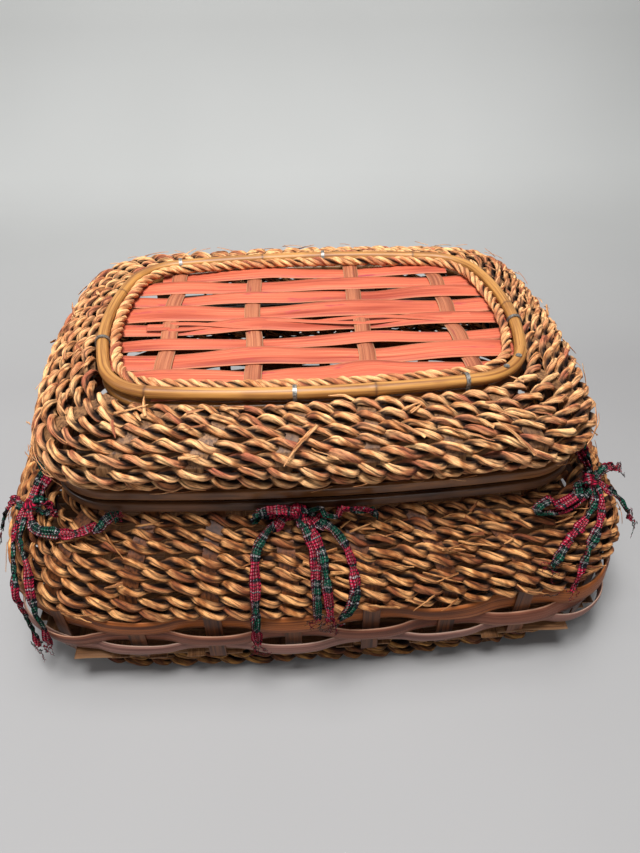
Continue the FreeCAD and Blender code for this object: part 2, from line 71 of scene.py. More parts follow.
class Finish:
    """A material, with a short way to add nodes to it."""

    def __init__(self, name, roughness, **sockets):
        self.material = bpy.data.materials.new(name)
        self.material.use_nodes = True
        self.nodes = self.material.node_tree.nodes
        self.links = self.material.node_tree.links
        self.surface = self.nodes["Principled BSDF"]
        self.surface.inputs["Roughness"].default_value = roughness
        for socket, value in sockets.items():
            self.surface.inputs[socket.replace("_", " ")].default_value = value

    def add(self, kind, inputs=(), output=0, **settings):
        node = self.nodes.new("ShaderNode" + kind)
        for name, value in settings.items():
            setattr(node, name, value)
        for key, value in dict(inputs).items():
            if isinstance(value, bpy.types.NodeSocket):
                self.links.new(value, node.inputs[key])
            else:
                node.inputs[key].default_value = value
        return node.outputs[output]

    def stretched(self, vector, size):
        """The vector times a size, so that a pattern on it is drawn out."""
        return self.add("Mapping", {"Vector": vector, "Scale": size})

    def noise(self, vector, scale, detail=2.0, roughness=0.5):
        return self.add("TexNoise", {"Vector": vector, "Scale": scale, "Detail": detail,
                                     "Roughness": roughness})

    def ramp(self, amount, stops, interpolation="LINEAR"):
        """A colour for each amount; stops are (place, (r, g, b))."""
        output = self.add("ValToRGB", {"Fac": amount})
        bar = output.node.color_ramp
        bar.interpolation = interpolation
        while len(bar.elements) < len(stops):
            bar.elements.new(0.5)
        for element, (place, colour) in zip(bar.elements, stops):
            element.position = place
            element.color = (*colour, 1.0)
        return output

    def spread(self, amount, low, high):
        """The amount with low taken to 0 and high to 1."""
        return self.add("MapRange", {"Value": amount, "From Min": low, "From Max": high})

    def mix(self, amount, first, second, blend="MIX"):
        node = self.add("Mix", data_type="RGBA", blend_type=blend).node
        for index, value in ((0, amount), (6, first), (7, second)):
            if isinstance(value, bpy.types.NodeSocket):
                self.links.new(value, node.inputs[index])
            else:
                node.inputs[index].default_value = (*value, 1.0) if index else value
        return node.outputs[2]

    def done(self, colour, roughness=None, height=None, depth=0.0003, strength=1.0):
        """Join the colour, roughness and bump height to the surface."""
        self.links.new(colour, self.surface.inputs["Base Color"])
        if roughness is not None:
            self.links.new(roughness, self.surface.inputs["Roughness"])
        if height is not None:
            bump = self.add("Bump", {"Height": height, "Distance": depth, "Strength": strength})
            self.links.new(bump, self.surface.inputs["Normal"])
        return self.material


tent = Finish("tent_cloth", 0.9)
tent_place = tent.add("TexCoord", output=3)
tent_shade = tent.noise(tent_place, 1.3, 3.0)
tent_depth = tent.add("SeparateXYZ", {"Vector": tent_place}, output=1)
# Painted light: the one cloth is darker on the floor and lighter up the back wall, blended by depth.
tent_floor_painted_darker = tent.ramp(tent_shade, ((0.3, (0.30, 0.295, 0.295)), (0.7, (0.34, 0.335, 0.335))))
tent_wall_painted_lighter = tent.ramp(tent_shade, ((0.3, (0.46, 0.465, 0.455)), (0.7, (0.52, 0.525, 0.515))))
tent_white = tent.done(tent.mix(tent.spread(tent_depth, 0.20, 0.75), tent_floor_painted_darker, tent_wall_painted_lighter))
upright_from = FLAT_SHARE + BENT_SHARE
run = np.linspace(0, 1, TENT_ROWS)
turn = np.clip((run - FLAT_SHARE) / BENT_SHARE, 0, 1) * (math.pi / 2)
tent_y = np.where(run < FLAT_SHARE,
                  -FLOOR_SIZE / 2 + run / FLAT_SHARE * (FLOOR_SIZE / 2 + TENT_BACK),
                  TENT_BACK + TENT_BEND * np.sin(turn))
tent_z = np.where(run < upright_from, TENT_BEND * (1 - np.cos(turn)),
                  TENT_BEND + (run - upright_from) / (1 - upright_from) * WALL_HEIGHT)
tent_x = np.array([-FLOOR_SIZE / 2, FLOOR_SIZE / 2])
tent_points = np.stack(np.broadcast_arrays(tent_x[None], tent_y[:, None], tent_z[:, None]), axis=-1)
tent_mesh = bpy.data.meshes.new("tent")
tent_mesh.from_pydata(tent_points.reshape(-1, 3).tolist(), [],
                      grid_faces(TENT_ROWS, 2)[:, ::-1].tolist())
tent_mesh.materials.append(tent_white)
for face in tent_mesh.polygons:
    face.use_smooth = True
tent_sheet = bpy.data.objects.new("tent", tent_mesh)
bpy.context.scene.collection.objects.link(tent_sheet)

for name, place, size, power, aim in (
        ("lamp_top", (-0.10, -0.30, 1.30), 0.40, 21.0, (0.0, 0.0, 0.0)),
        ("lamp_front", (0.25, -1.35, 0.75), 0.5, 2.4, (0.0, 0.0, 0.08)),
        ("lamp_left", (-1.2, -0.3, 0.8), 0.5, 3.0, (0.0, 0.0, 0.08)),
        ("lamp_back", (0.0, 0.15, 1.60), 0.6, 9.0, (0.0, 0.87, 0.60))):
    lamp = bpy.data.lights.new(name, "AREA")
    lamp.shape, lamp.size, lamp.energy = "SQUARE", size, power
    holder = bpy.data.objects.new(name, lamp)
    bpy.context.scene.collection.objects.link(holder)
    away = np.array(place) - np.array(aim)
    away /= np.linalg.norm(away)
    side = np.cross((0.0, 1.0, 0.0) if abs(away[2]) > 0.9 else (0.0, 0.0, 1.0), away)
    side /= np.linalg.norm(side)
    holder.matrix_world = Matrix([[side[i], np.cross(away, side)[i], away[i], place[i]]
                                  for i in range(3)] + [[0, 0, 0, 1]])
world = bpy.data.worlds.new("room")
world.use_nodes = True
world.node_tree.nodes["Background"].inputs["Color"].default_value = (0.93, 0.96, 1.0, 1.0)
world.node_tree.nodes["Background"].inputs["Strength"].default_value = 0.14
bpy.context.scene.world = world

sin_yaw, cos_yaw = math.sin(CAMERA_YAW), math.cos(CAMERA_YAW)
forward = np.array([sin_yaw * math.cos(CAMERA_PITCH), cos_yaw * math.cos(CAMERA_PITCH),
                    -math.sin(CAMERA_PITCH)])
level = np.array([cos_yaw, -sin_yaw, 0.0])
above = np.cross(level, forward)
right_way = math.cos(CAMERA_ROLL) * level + math.sin(CAMERA_ROLL) * above
up_way = -math.sin(CAMERA_ROLL) * level + math.cos(CAMERA_ROLL) * above
lens = bpy.data.cameras.new("camera")
lens.lens = FOCAL_LENGTH
lens.sensor_width = 36.0
lens.clip_start = 0.01
camera = bpy.data.objects.new("camera", lens)
camera.matrix_world = Matrix([[right_way[i], up_way[i], -forward[i], CAMERA_PLACE[i]]
                              for i in range(3)] + [[0, 0, 0, 1]])
bpy.context.scene.collection.objects.link(camera)
bpy.context.scene.camera = camera
bpy.context.scene.view_settings.view_transform = "Standard"

# ---- Foot: rope rows twined on short stakes, the ring that the basket stands on ----------------
# Each row is two fat strands of folded seagrass leaf that pass before and behind the stakes and
# wind round each other between them, brown outside, with shade painted nearly black in their folds.
SIDE_BOW = 0.006            # how far a side curves outward between its corners
ROW_OUTSIDE = 0.0061        # from the stakes' middle to the outside of a packed row
FOOT_CORNER = 0.054
STRAND_RADIUS = 0.00225
STRAND_OUT = 0.0028         # a strand's middle in front of or behind the stakes' middle
STRAND_UP = 0.0021          # and above or below the row's middle
STRAND_STEP = 0.0014        # along a strand between rings of points
STRAND_SIDES = 14
STRAND_LAY = 0.055          # length of one turn of the folds along a strand
HALF_TURNS = 3              # from one stake to the next
NEXT_TUBE = 7.31            # metres of picture from one tube of a piece to the next
UP = np.array([0.0, 0.0, 1.0])


def oval(width, depth, corner, share):
    """Points and outward directions at shares of the way round an oval.

    The oval is eight arcs that touch: a bowed side, a corner, a bowed side and so on, anticlockwise
    from the right side's front end.  Half width, half depth and corner may vary with the share.
    """
    width, depth, corner, share = np.broadcast_arrays(width, depth, corner, np.asarray(share) % 1.0)
    reach = corner + SIDE_BOW
    cx, cy = width - reach, depth - reach
    right = (reach ** 2 + cy ** 2 - corner ** 2) / (2 * SIDE_BOW)
    back = (reach ** 2 + cx ** 2 - corner ** 2) / (2 * SIDE_BOW)
    first, second = np.arctan2(cy, right - reach), np.arctan2(back - reach, cx)
    none = np.zeros_like(cx)
    x = np.stack([width - right, cx, none, -cx])
    y = np.stack([none, cy, depth - back, cy])
    radius = np.stack([right, corner, back, corner])
    start = np.stack([-first, first, second, math.pi - second])
    end = np.stack([first, second, math.pi - second, math.pi - first])
    x, y, radius = np.concatenate([x, -x]), np.concatenate([y, -y]), np.concatenate([radius, radius])
    start = np.concatenate([start, start + math.pi])
    span = radius * (np.concatenate([end, end + math.pi]) - start)
    passed = np.cumsum(span, axis=0)
    along = share * passed[-1]
    arc = np.minimum((along[None] > passed).sum(axis=0), 7)[None]
    x, y, radius, start, span, passed = (np.take_along_axis(a, arc, 0)[0]
                                         for a in (x, y, radius, start, span, passed))
    angle = start + (along - passed + span) / radius
    out = np.stack([np.cos(angle), np.sin(angle), np.zeros_like(angle)], axis=-1)
    return np.stack([x, y, np.zeros_like(x)], axis=-1) + out * radius[..., None], out


def oval_length(width, depth, corner):
    """The length of an oval, as the sum of short chords."""
    around = oval(width, depth, corner, np.linspace(0, 1, 2000))[0]
    return float(np.linalg.norm(np.diff(around, axis=0), axis=1).sum())


def front_share(width, depth, corner, x):
    """The share of the way round at which the front side reaches x."""
    share = np.linspace(0.5, 1.0, 4001)
    point, _ = oval(width, depth, corner, share)
    return float(share[np.argmin(np.abs(point[:, 0] - x) + 10 * (point[:, 1] > 0))])


def outline(node, inset):
    """Half width, half depth and mid height of a packed ring, drawn in by the inset."""
    low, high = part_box(node)
    return ((high[0] - low[0]) / 2 - inset, (high[1] - low[1]) / 2 - inset, (high[2] + low[2]) / 2)


def wander(share, rng, waves, size):
    """A smooth closed random line: sine waves of random phase that fade as they get shorter."""
    wave = np.arange(1, waves + 1)
    height = rng.normal(size=waves) / wave ** 0.6
    phase = rng.uniform(0, 2 * math.pi, waves)
    line = (height * np.sin(2 * math.pi * wave * share[:, None] + phase)).sum(axis=1)
    return size * line / max(line.std(), 1e-9)


def carry(path, across, through, profile):
    """A profile of (across, through) offsets carried along a path, one ring of points per place."""
    return (path[..., None, :] + profile[..., 0, None] * across[..., None, :]
            + profile[..., 1, None] * through[..., None, :])


def piece(name, runs, closed, finish, body, nodes=(), width_scale=None, fold_shade_and_node_ring=None,
          picture_start=0.0):
    """A mesh of tubes: runs is a list of (places, ring, 3) arrays, closed or capped at their ends.

    The UV map runs along each tube in metres from picture_start, a new stretch of the picture for
    each tube, and round it from 0 to 1 or by the given marks.  The fold_shade_and_node_ring
    attribute is 0 in a fold and 1 on an open face: the seagrass finish paints shade in the folds by
    it, and the hoop's finish its dark node rings.
    """
    verts, corners, sizes, uvs, start = [], [], [], [], 0
    for number, run in enumerate(runs):
        places, around = run.shape[:2]
        faces = grid_faces(places, around, closed, True)
        step = np.linalg.norm(np.diff(run.mean(axis=1), axis=0), axis=1)
        along = picture_start + np.concatenate([[0], np.cumsum(step)])
        along = np.concatenate([along, [along[-1] + (step.mean() if len(step) else 0)]])
        marks = np.arange(around + 1) / around if width_scale is None else width_scale
        row, column = np.divmod(np.arange(len(faces)), around)
        u0, u1 = along[row] + NEXT_TUBE * number, along[row + 1] + NEXT_TUBE * number
        v0, v1 = marks[column], marks[column + 1]
        uvs.append(np.stack([np.stack([u0, v0], 1), np.stack([u1, v0], 1),
                             np.stack([u1, v1], 1), np.stack([u0, v1], 1)], 1).reshape(-1, 2))
        verts.append(run.reshape(-1, 3))
        corners.append((faces + start).ravel())
        sizes.append(np.full(len(faces), 4))
        if not closed:
            for cap, u in ((np.arange(around)[::-1], along[0]),
                           (np.arange(around) + (places - 1) * around, along[-2])):
                corners.append(cap + start)
                sizes.append(np.array([around]))
                uvs.append(np.stack([np.full(around, u + NEXT_TUBE * number), marks[:-1]], 1))
        start += places * around
    verts, corners, sizes = (np.concatenate(a) for a in (verts, corners, sizes))
    mesh = bpy.data.meshes.new(name)
    mesh.vertices.add(len(verts))
    mesh.vertices.foreach_set("co", verts.astype(np.float32).ravel())
    mesh.loops.add(len(corners))
    mesh.loops.foreach_set("vertex_index", corners.astype(np.int32))
    mesh.polygons.add(len(sizes))
    starts = np.concatenate([[0], np.cumsum(sizes)[:-1]])
    mesh.polygons.foreach_set("loop_start", starts.astype(np.int32))
    mesh.polygons.foreach_set("loop_total", sizes.astype(np.int32))
    mesh.polygons.foreach_set("use_smooth", sizes == 4)
    layer = mesh.uv_layers.new(name="Weave")
    layer.data.foreach_set("uv", np.concatenate(uvs).astype(np.float32).ravel())
    # This attribute carries painted shade for the folds of leaf and cord, and the hoop's dark node
    # rings.
    if fold_shade_and_node_ring is not None:
        mark = mesh.attributes.new("fold_shade_and_node_ring", "FLOAT", "POINT")
        mark.data.foreach_set("value", np.concatenate(fold_shade_and_node_ring).astype(np.float32).ravel())
    mesh.update()
    mesh.validate()
    mesh.materials.append(finish)
    made = bpy.data.objects.new(name, mesh)
    bpy.context.scene.collection.objects.link(made)
    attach(made, body)
    if nodes:
        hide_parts(*nodes)
    return made


def strand(middle, row, out, upward, share, rng, turns, radius):
    """One fat strand of folded leaf, and how far each point lies out of its folds and the row.

    Its radius is 1 + 0.10 cos 3a + 0.07 cos 5a of the mean, at an angle a that turns along the
    strand.  The mark is 0 near the row's middle and between lobes, where the finish paints shade,
    and 1 on the open faces.
    """
    angle = 2 * math.pi * np.arange(STRAND_SIDES) / STRAND_SIDES
    twist = 2 * math.pi * turns * share + wander(share, rng, 80, 0.35)
    turned = angle[None] - twist[:, None]
    lobes = (0.10 * np.cos(3 * angle + 2.5 * wander(share, rng, 70, 0.5)[:, None])
             + 0.07 * np.cos(5 * angle + 3.0 * wander(share, rng, 110, 0.5)[:, None]))
    fat = 1 + wander(share, rng, 170, 0.09)[:, None]
    reach = radius * fat * (1 + lobes)
    run = carry(middle, out, upward, np.stack([reach * np.cos(turned), reach * np.sin(turned)], -1))
    far = np.linalg.norm(run - row[:, None], axis=2) / radius
    # Painted shade: points near the row's middle, where the strands press together, and between lobes
    # are marked dark.
    mark = np.clip((far - 1.05) / 0.75, 0, 1) * np.clip((lobes + 0.15) / 0.14, 0.12, 1)
    return run, mark.ravel()


def twined(width, depth, corner, height, tilt, stakes, first, turn, rng, sag=0.0008):
    """A twined row: two strands wound HALF_TURNS half turns round each other from stake to stake.

    A strand is off the middle by the cosine of its turn outward, flattened by tanh, and by its sine
    up.  At a stake one lies outside and one inside it, and they change places at the next.
    """
    long = oval_length(width, depth, corner)
    share = np.arange(int(long / STRAND_STEP)) / int(long / STRAND_STEP)
    point, flat = oval(width, depth, corner, share)
    out = flat * math.cos(tilt) + UP * math.sin(tilt)
    upward = UP * math.cos(tilt) - flat * math.sin(tilt)
    phase = HALF_TURNS * math.pi * (stakes * (share - first) + turn) + wander(share, rng, 50, 0.30)
    centre = point + UP * height + upward * wander(share, rng, 26, sag)[:, None]
    centre = centre + out * wander(share, rng, 20, 0.0003)[:, None]
    # Each strand comes with its painted-shade mark for the folds.
    runs, fold_shade_marks = [], []
    for half in (1, -1):
        inward = half * STRAND_OUT * np.tanh(1.6 * np.cos(phase)) / math.tanh(1.6)
        rise = -half * STRAND_UP * np.sin(phase + 0.3 * wander(share, rng, 60, 0.5))
        middle = centre + out * inward[:, None] + upward * rise[:, None]
        run, mark = strand(middle, centre, out, upward, share, rng, round(long / STRAND_LAY),
                           STRAND_RADIUS)
        runs.append(run)
        fold_shade_marks.append(mark)
    return runs, fold_shade_marks


def seagrass(name, dark, mid, light, dye):
    """Dry twisted leaf: light streaks along the strand, brown patches, folds painted nearly black as
    shade.
    """
    look = Finish(name, 0.62, Specular_IOR_Level=0.22)
    along = look.add("UVMap", uv_map="Weave")
    patch = look.noise(look.stretched(along, (75.0, 1.2, 1.0)), 1.0, 2.0, 0.6)
    streak = look.noise(look.stretched(along, (130.0, 26.0, 1.0)), 1.0, 4.0, 0.72)
    hue = look.noise(look.stretched(along, (28.0, 0.8, 1.0)), 1.0, 1.0)
    body = look.ramp(patch, ((0.31, dark), (0.43, mid), (0.57, light)))
    warm = look.mix(look.spread(hue, 0.45, 0.7), body, dye)
    grain = look.ramp(streak, ((0.36, (0.22, 0.13, 0.10)), (0.47, (0.95, 0.89, 0.82)),
                               (0.66, (1.50, 1.42, 1.22))))
    streaked = look.mix(1.0, warm, grain, "MULTIPLY")
    # Painted shade: the fold mark mixes near-black into the leaf in its folds and where strands meet.
    painted_fold_shade = look.add("Attribute", output=2, attribute_name="fold_shade_and_node_ring")
    shaded = look.mix(painted_fold_shade, (0.012, 0.004, 0.002), streaked)
    rough = look.add("MapRange", {"Value": streak, "From Min": 0.3, "From Max": 0.7,
                                  "To Min": 0.85, "To Max": 0.60})
    return look.done(shaded, rough, streak, 0.0008, 1.0)


foot_rope = seagrass("seagrass_dark", (0.07, 0.022, 0.008), (0.20, 0.080, 0.022),
                     (0.40, 0.20, 0.060), (0.12, 0.035, 0.018))
FOOT_STAKES = 24
FOOT_FIRST_X = -0.030       # where the row's first stake stands on the front
FLOOR_SPACE = 0.0001        # under the lowest strand
for number in (1, 2, 3):
    node = "foot_rope_row_%d" % number
    rng = np.random.default_rng(10 + number)
    half_width, half_depth, height = outline(node, ROW_OUTSIDE)
    first = front_share(half_width, half_depth, FOOT_CORNER, FOOT_FIRST_X)
    runs, marks = twined(half_width, half_depth, FOOT_CORNER, height, 0.0, FOOT_STAKES, first,
                         number, rng)
    lift = max(0.0, FLOOR_SPACE - min(run[..., 2].min() for run in runs))
    piece("foot_rope_%d" % number, [run + UP * lift for run in runs], True, foot_rope, "basket",
          (node,), fold_shade_and_node_ring=marks)

# ---- Stakes: flat reed standing behind the rows and peeping out between them --------------------
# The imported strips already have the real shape, so they only get their finish.  Those of the
# basket are stained dark brown like its splint, those of the lid and the foot a lighter brown.
def reed(name, dark, light, along, roughness=0.55):
    """Split reed: fine dark and light lines along the strip under darker clouds."""
    look = Finish(name, roughness, Specular_IOR_Level=0.35)
    place = look.add("TexCoord", output=3)
    line = look.noise(look.stretched(place, along), 1.0, 4.0, 0.6)
    cloud = look.noise(place, 35.0, 2.0)
    tone = look.ramp(line, ((0.35, dark), (0.6, light)))
    aged = look.mix(look.spread(cloud, 0.45, 0.8), tone, dark)
    return look.done(aged, None, line, 0.0002, 0.6)


def dress(finish, *nodes):
    """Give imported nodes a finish."""
    for node in nodes:
        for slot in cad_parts[node].material_slots:
            slot.material = finish


UPRIGHT = (600.0, 600.0, 14.0)
brown_stake = reed("stake_reed_brown", (0.035, 0.010, 0.004), (0.19, 0.060, 0.018), UPRIGHT,
                   0.50)
light_stake = reed("stake_reed_pale", (0.060, 0.022, 0.008), (0.27, 0.13, 0.052), UPRIGHT)
dress(brown_stake, *(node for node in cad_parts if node.startswith("body_stakes")))
dress(light_stake, "foot_stakes",
      *(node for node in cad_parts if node.startswith("lid_stakes")))

# ---- Base: flat reed strips in a plain weave, its ends tucked behind the foot of the wall ------
# Each strip goes over one crossing strip and under the next.
BASE_SPOKES = 16
BASE_SPOKE_PITCH = 0.025
BASE_WEAVERS = 19
BASE_WEAVER_PITCH = 0.016
SPOKE_HALF_WIDTH, WEAVER_HALF_WIDTH = 0.006, 0.0079
BASE_THICKNESS = 0.0012
BASE_WAVE = 0.00075         # how far a strip rises over or dips under a crossing one
BASE_STEPS = 161


def flat_profile(half, thick, dome=0.0, marks=5):
    """A flat strip's section, (through, across), anticlockwise.

    At a share a of the half width its half thickness is 1 - 0.6 a^8 of the middle's, and it is
    domed by 1 - a^2.
    """
    a = np.linspace(-1, 1, marks)
    half, thick, dome = (np.asarray(v, dtype=float)[..., None] for v in (half, thick, dome))
    face = thick / 2 * (1 - 0.6 * a ** 8)
    crown = dome * (1 - a ** 2)
    outer = np.stack(np.broadcast_arrays(crown + face, half * a), axis=-1)
    inner = np.stack(np.broadcast_arrays(crown - face, half * a), axis=-1)[..., ::-1, :]
    return np.concatenate([outer, inner], axis=-2)


def strip_marks(marks=5):
    """Where the corners of a flat strip's section lie across its picture: 0 to 1 and back."""
    a = np.linspace(0, 1, marks)
    return np.concatenate([a, a[::-1], a[:1]])


def splint(name, dark, mid, light, edge, stain=None, roughness=0.50):
    """Dyed split cane: long fine lines, darker clouds, and lighter wood along the edges."""
    look = Finish(name, roughness, Specular_IOR_Level=0.16)
    along = look.add("UVMap", uv_map="Weave")
    fine = look.noise(look.stretched(along, (7.0, 26.0, 1.0)), 1.0, 4.0, 0.65)
    broad = look.noise(look.stretched(along, (9.0, 2.2, 1.0)), 1.0, 2.0)
    tone = look.ramp(fine, ((0.30, dark), (0.47, mid), (0.68, light)))
    cloudy = look.mix(look.spread(broad, 0.5, 0.75), tone, dark)
    if stain is not None:
        blot = look.noise(look.stretched(along, (32.0, 3.0, 1.0)), 1.0, 3.0, 0.6)
        cloudy = look.mix(look.spread(blot, 0.60, 0.72), cloudy, stain)
    across = look.add("SeparateXYZ", {"Vector": along}, output=1)
    off = look.add("Math", {0: across, 1: 0.5}, operation="SUBTRACT")
    rim = look.add("Math", {0: off}, operation="ABSOLUTE")
    worn = look.mix(look.spread(rim, 0.43, 0.5), cloudy, edge)
    return look.done(worn, None, fine, 0.0003, 0.6)


base_splint = splint("splint_base", (0.07, 0.028, 0.012), (0.18, 0.080, 0.034),
                     (0.30, 0.15, 0.065), (0.26, 0.14, 0.07))
(_, _, floor_low), (right, back, _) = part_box("base_spokes")
(_, _, _), (weaver_end, weaver_side, floor_high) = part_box("base_weavers")
base_level = (floor_low + floor_high) / 2
step = np.linspace(-1, 1, BASE_STEPS)
runs = []
for index in range(BASE_SPOKES):
    x = (index - (BASE_SPOKES - 1) / 2) * BASE_SPOKE_PITCH
    half = back * (1 - max(0.0, abs(x) / right - 0.55) ** 2 * 1.1)
    y = step * half
    wave = -BASE_WAVE * np.cos(math.pi * (y / BASE_WEAVER_PITCH + index))
    path = np.stack([np.full_like(y, x), y, base_level + wave], axis=-1)
    runs.append(carry(path, np.tile(UP, (BASE_STEPS, 1)), np.tile((-1.0, 0.0, 0.0), (BASE_STEPS, 1)),
                      flat_profile(SPOKE_HALF_WIDTH, BASE_THICKNESS)))
piece("base_spoke_strips", runs, False, base_splint, "basket", ("base_spokes",),
      strip_marks())
runs = []
for index in range(BASE_WEAVERS):
    y = (index - (BASE_WEAVERS - 1) / 2) * BASE_WEAVER_PITCH
    half = weaver_end * (1 - max(0.0, abs(y) / weaver_side - 0.45) ** 2 * 0.85)
    x = step * half
    wave = BASE_WAVE * np.cos(math.pi * (x / BASE_SPOKE_PITCH + 0.5 + index))
    path = np.stack([x, np.full_like(x, y), base_level + wave], axis=-1)
    runs.append(carry(path, np.tile(UP, (BASE_STEPS, 1)), np.tile((0.0, 1.0, 0.0), (BASE_STEPS, 1)),
                      flat_profile(WEAVER_HALF_WIDTH, BASE_THICKNESS)))
piece("base_weaver_strips", runs, False, base_splint, "basket", ("base_weavers",),
      strip_marks())

# ---- Splint band: broad strips of stained cane woven in front of one stake, behind the next ----
# Rust brown at the top, greyer and narrower below, standing off the stakes at the corners.
BELLY_CORNER = 0.072
BODY_STAKES = 26
BODY_FIRST_X = -0.022
SPLINT_THICKNESS = 0.0014
SPLINT_STEPS = 900
belly = outline("splint_row_2", 0.0024)[:2]
band_low, band_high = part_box("splint_row_1")[0][2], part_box("splint_row_3")[1][2]
body_first = front_share(*belly, BELLY_CORNER, BODY_FIRST_X)
rust_splint = splint("splint_rust", (0.050, 0.012, 0.004), (0.250, 0.066, 0.016),
                     (0.60, 0.185, 0.040), (0.34, 0.115, 0.038))
mauve_splint = splint("splint_mauve", (0.070, 0.020, 0.012), (0.200, 0.066, 0.038),
                      (0.33, 0.130, 0.075), (0.42, 0.22, 0.14))
grey_splint = splint("splint_grey", (0.10, 0.040, 0.032), (0.24, 0.110, 0.085),
                     (0.36, 0.19, 0.145), (0.45, 0.29, 0.22))
# each strip: node, finish, middle as a share of the band's height, half width, bulge at corners
SPLINTS = (("splint_row_3", rust_splint, 0.80, 0.0084, 0.0015),
           ("splint_row_2", mauve_splint, 0.46, 0.0066, 0.0035),
           ("splint_row_1", grey_splint, 0.19, 0.0047, 0.0050))
for number, (node, finish, level, half, bulge) in enumerate(SPLINTS):
    rng = np.random.default_rng(40 + number)
    share = np.arange(SPLINT_STEPS) / SPLINT_STEPS
    point, out = oval(*belly, BELLY_CORNER, share)
    swing = np.cos(math.pi * (BODY_STAKES * (share - body_first) + number))
    corner = np.clip(1.6 * np.abs(out[:, 0] * out[:, 1]) * 2 - 0.6, 0, 1)
    off = (0.0021 * np.tanh(1.6 * swing) / math.tanh(1.6) + 0.0012 * (swing > 0) * swing
           + bulge * corner + np.abs(wander(share, rng, 14, 0.0004)))
    middle = (band_low + level * (band_high - band_low) + wander(share, rng, 13, 0.0009)
              - 0.0016 * corner)
    path = point + out * off[:, None] + UP * middle[:, None]
    tip = wander(share, rng, 16, 0.10)
    across = UP * np.cos(tip)[:, None] - out * np.sin(tip)[:, None]
    through = out * np.cos(tip)[:, None] + UP * np.sin(tip)[:, None]
    widths = half * (1 + wander(share, rng, 18, 0.05))
    run = carry(path, through, across, flat_profile(widths, SPLINT_THICKNESS, 0.0004))
    piece("splint_strip_%d" % (3 - number), [run], True, finish, "basket", (node,),
          strip_marks())

# ---- Basket wall: eight twined seagrass rows that lean in to the mouth -------------------------
# The same two-strand twining as the foot, in brighter leaf, with the last row pressed to the rim.
MOUTH_CORNER = 0.040
ROWS = 8
TIE_SPACE = 0.0026          # room for the hinge cords between a rim and the next row
CROWDED = 0.12              # of a row: how much nearer the rim its next row is pressed
BODY_LEAN = math.radians(56)
LID_LEAN = math.radians(50)
mouth = outline("body_rim_outer", 0.0047)[:2]


def lean_in(outer, inner, low, high, lean):
    """Outlines and heights of a wall that starts upright at the outer outline and leans in.

    The outline moves by (1 - cos a) / (1 - cos lean) and the height by sin a / sin lean.
    """
    angle = np.linspace(0, lean, 15)
    share = ((1 - np.cos(angle)) / (1 - math.cos(lean)))[:, None]
    plan = np.array(outer) * (1 - share) + np.array(inner) * share
    return np.column_stack([plan, low + (high - low) * np.sin(angle) / math.sin(lean)])


def up_the_wall(levels, distance):
    """Half width, half depth, corner, height and tilt at distances up a wall, and its length."""
    reach = (levels[:, 0] + levels[:, 1]) / 2
    marks = np.concatenate([[0], np.cumsum(np.hypot(np.diff(reach), np.diff(levels[:, 3])))])
    part = np.clip(np.searchsorted(marks, distance) - 1, 0, len(marks) - 2)
    tilt = np.arctan2(-np.diff(reach), np.diff(levels[:, 3]))[part]
    return [np.interp(distance, marks, column) for column in levels.T] + [tilt], marks[-1]


body_rim_low, body_rim_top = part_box("body_rim_outer")[0][2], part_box("body_rim_outer")[1][2]
body_levels = lean_in((*belly, BELLY_CORNER), (*mouth, MOUTH_CORNER), band_high + 0.00035,
                      body_rim_low - TIE_SPACE - ROW_OUTSIDE * math.sin(BODY_LEAN), BODY_LEAN)
_, body_length = up_the_wall(body_levels, 0.0)
body_rope = seagrass("seagrass_brown", (0.110, 0.032, 0.010), (0.37, 0.140, 0.043),
                     (0.82, 0.42, 0.175), (0.22, 0.065, 0.027))
for row in range(ROWS):
    place = row + 0.5 + (CROWDED if row == ROWS - 1 else 0.0)
    (width, depth, corner, height, tilt), _ = up_the_wall(body_levels, place * body_length / ROWS)
    runs, marks = twined(width, depth, corner, height, tilt, BODY_STAKES, body_first, row,
                         np.random.default_rng(60 + row))
    piece("body_rope_%d" % (row + 1), runs, True, body_rope, "basket",
          ("body_rope_row_%d" % (row + 1),), fold_shade_and_node_ring=marks)

# ---- Rims: an outer and an inner cane round the mouth of the basket and of the lid -------------
# Bent cane stained brown, the basket's painted nearly black as shade, in the shape that was packed.
def cane(name, dark, light, roughness=0.33):
    """Cane skin: brown with darker clouds and lines and a light gloss."""
    look = Finish(name, roughness, Specular_IOR_Level=0.5)
    place = look.add("TexCoord", output=3)
    cloud = look.noise(look.stretched(place, (18.0, 18.0, 60.0)), 1.0, 3.0, 0.6)
    line = look.noise(look.stretched(place, (30.0, 30.0, 900.0)), 1.0, 3.0, 0.6)
    tone = look.ramp(cloud, ((0.35, dark), (0.62, light)))
    lined = look.mix(look.spread(line, 0.5, 0.75), tone, dark)
    return look.done(lined, None, line, 0.0002, 0.5)


rim_cane = cane("cane_rim", (0.060, 0.019, 0.006), (0.26, 0.100, 0.027))
# Painted shade: a near-black copy of the rim cane for the basket's rim, standing in for the lid's
# shadow.
shaded_body_rim_cane = cane("cane_rim_painted_shade", (0.030, 0.011, 0.005), (0.13, 0.050, 0.018))
dress(rim_cane, "lid_rim_outer", "lid_rim_inner")
dress(shaded_body_rim_cane, "body_rim_outer", "body_rim_inner")

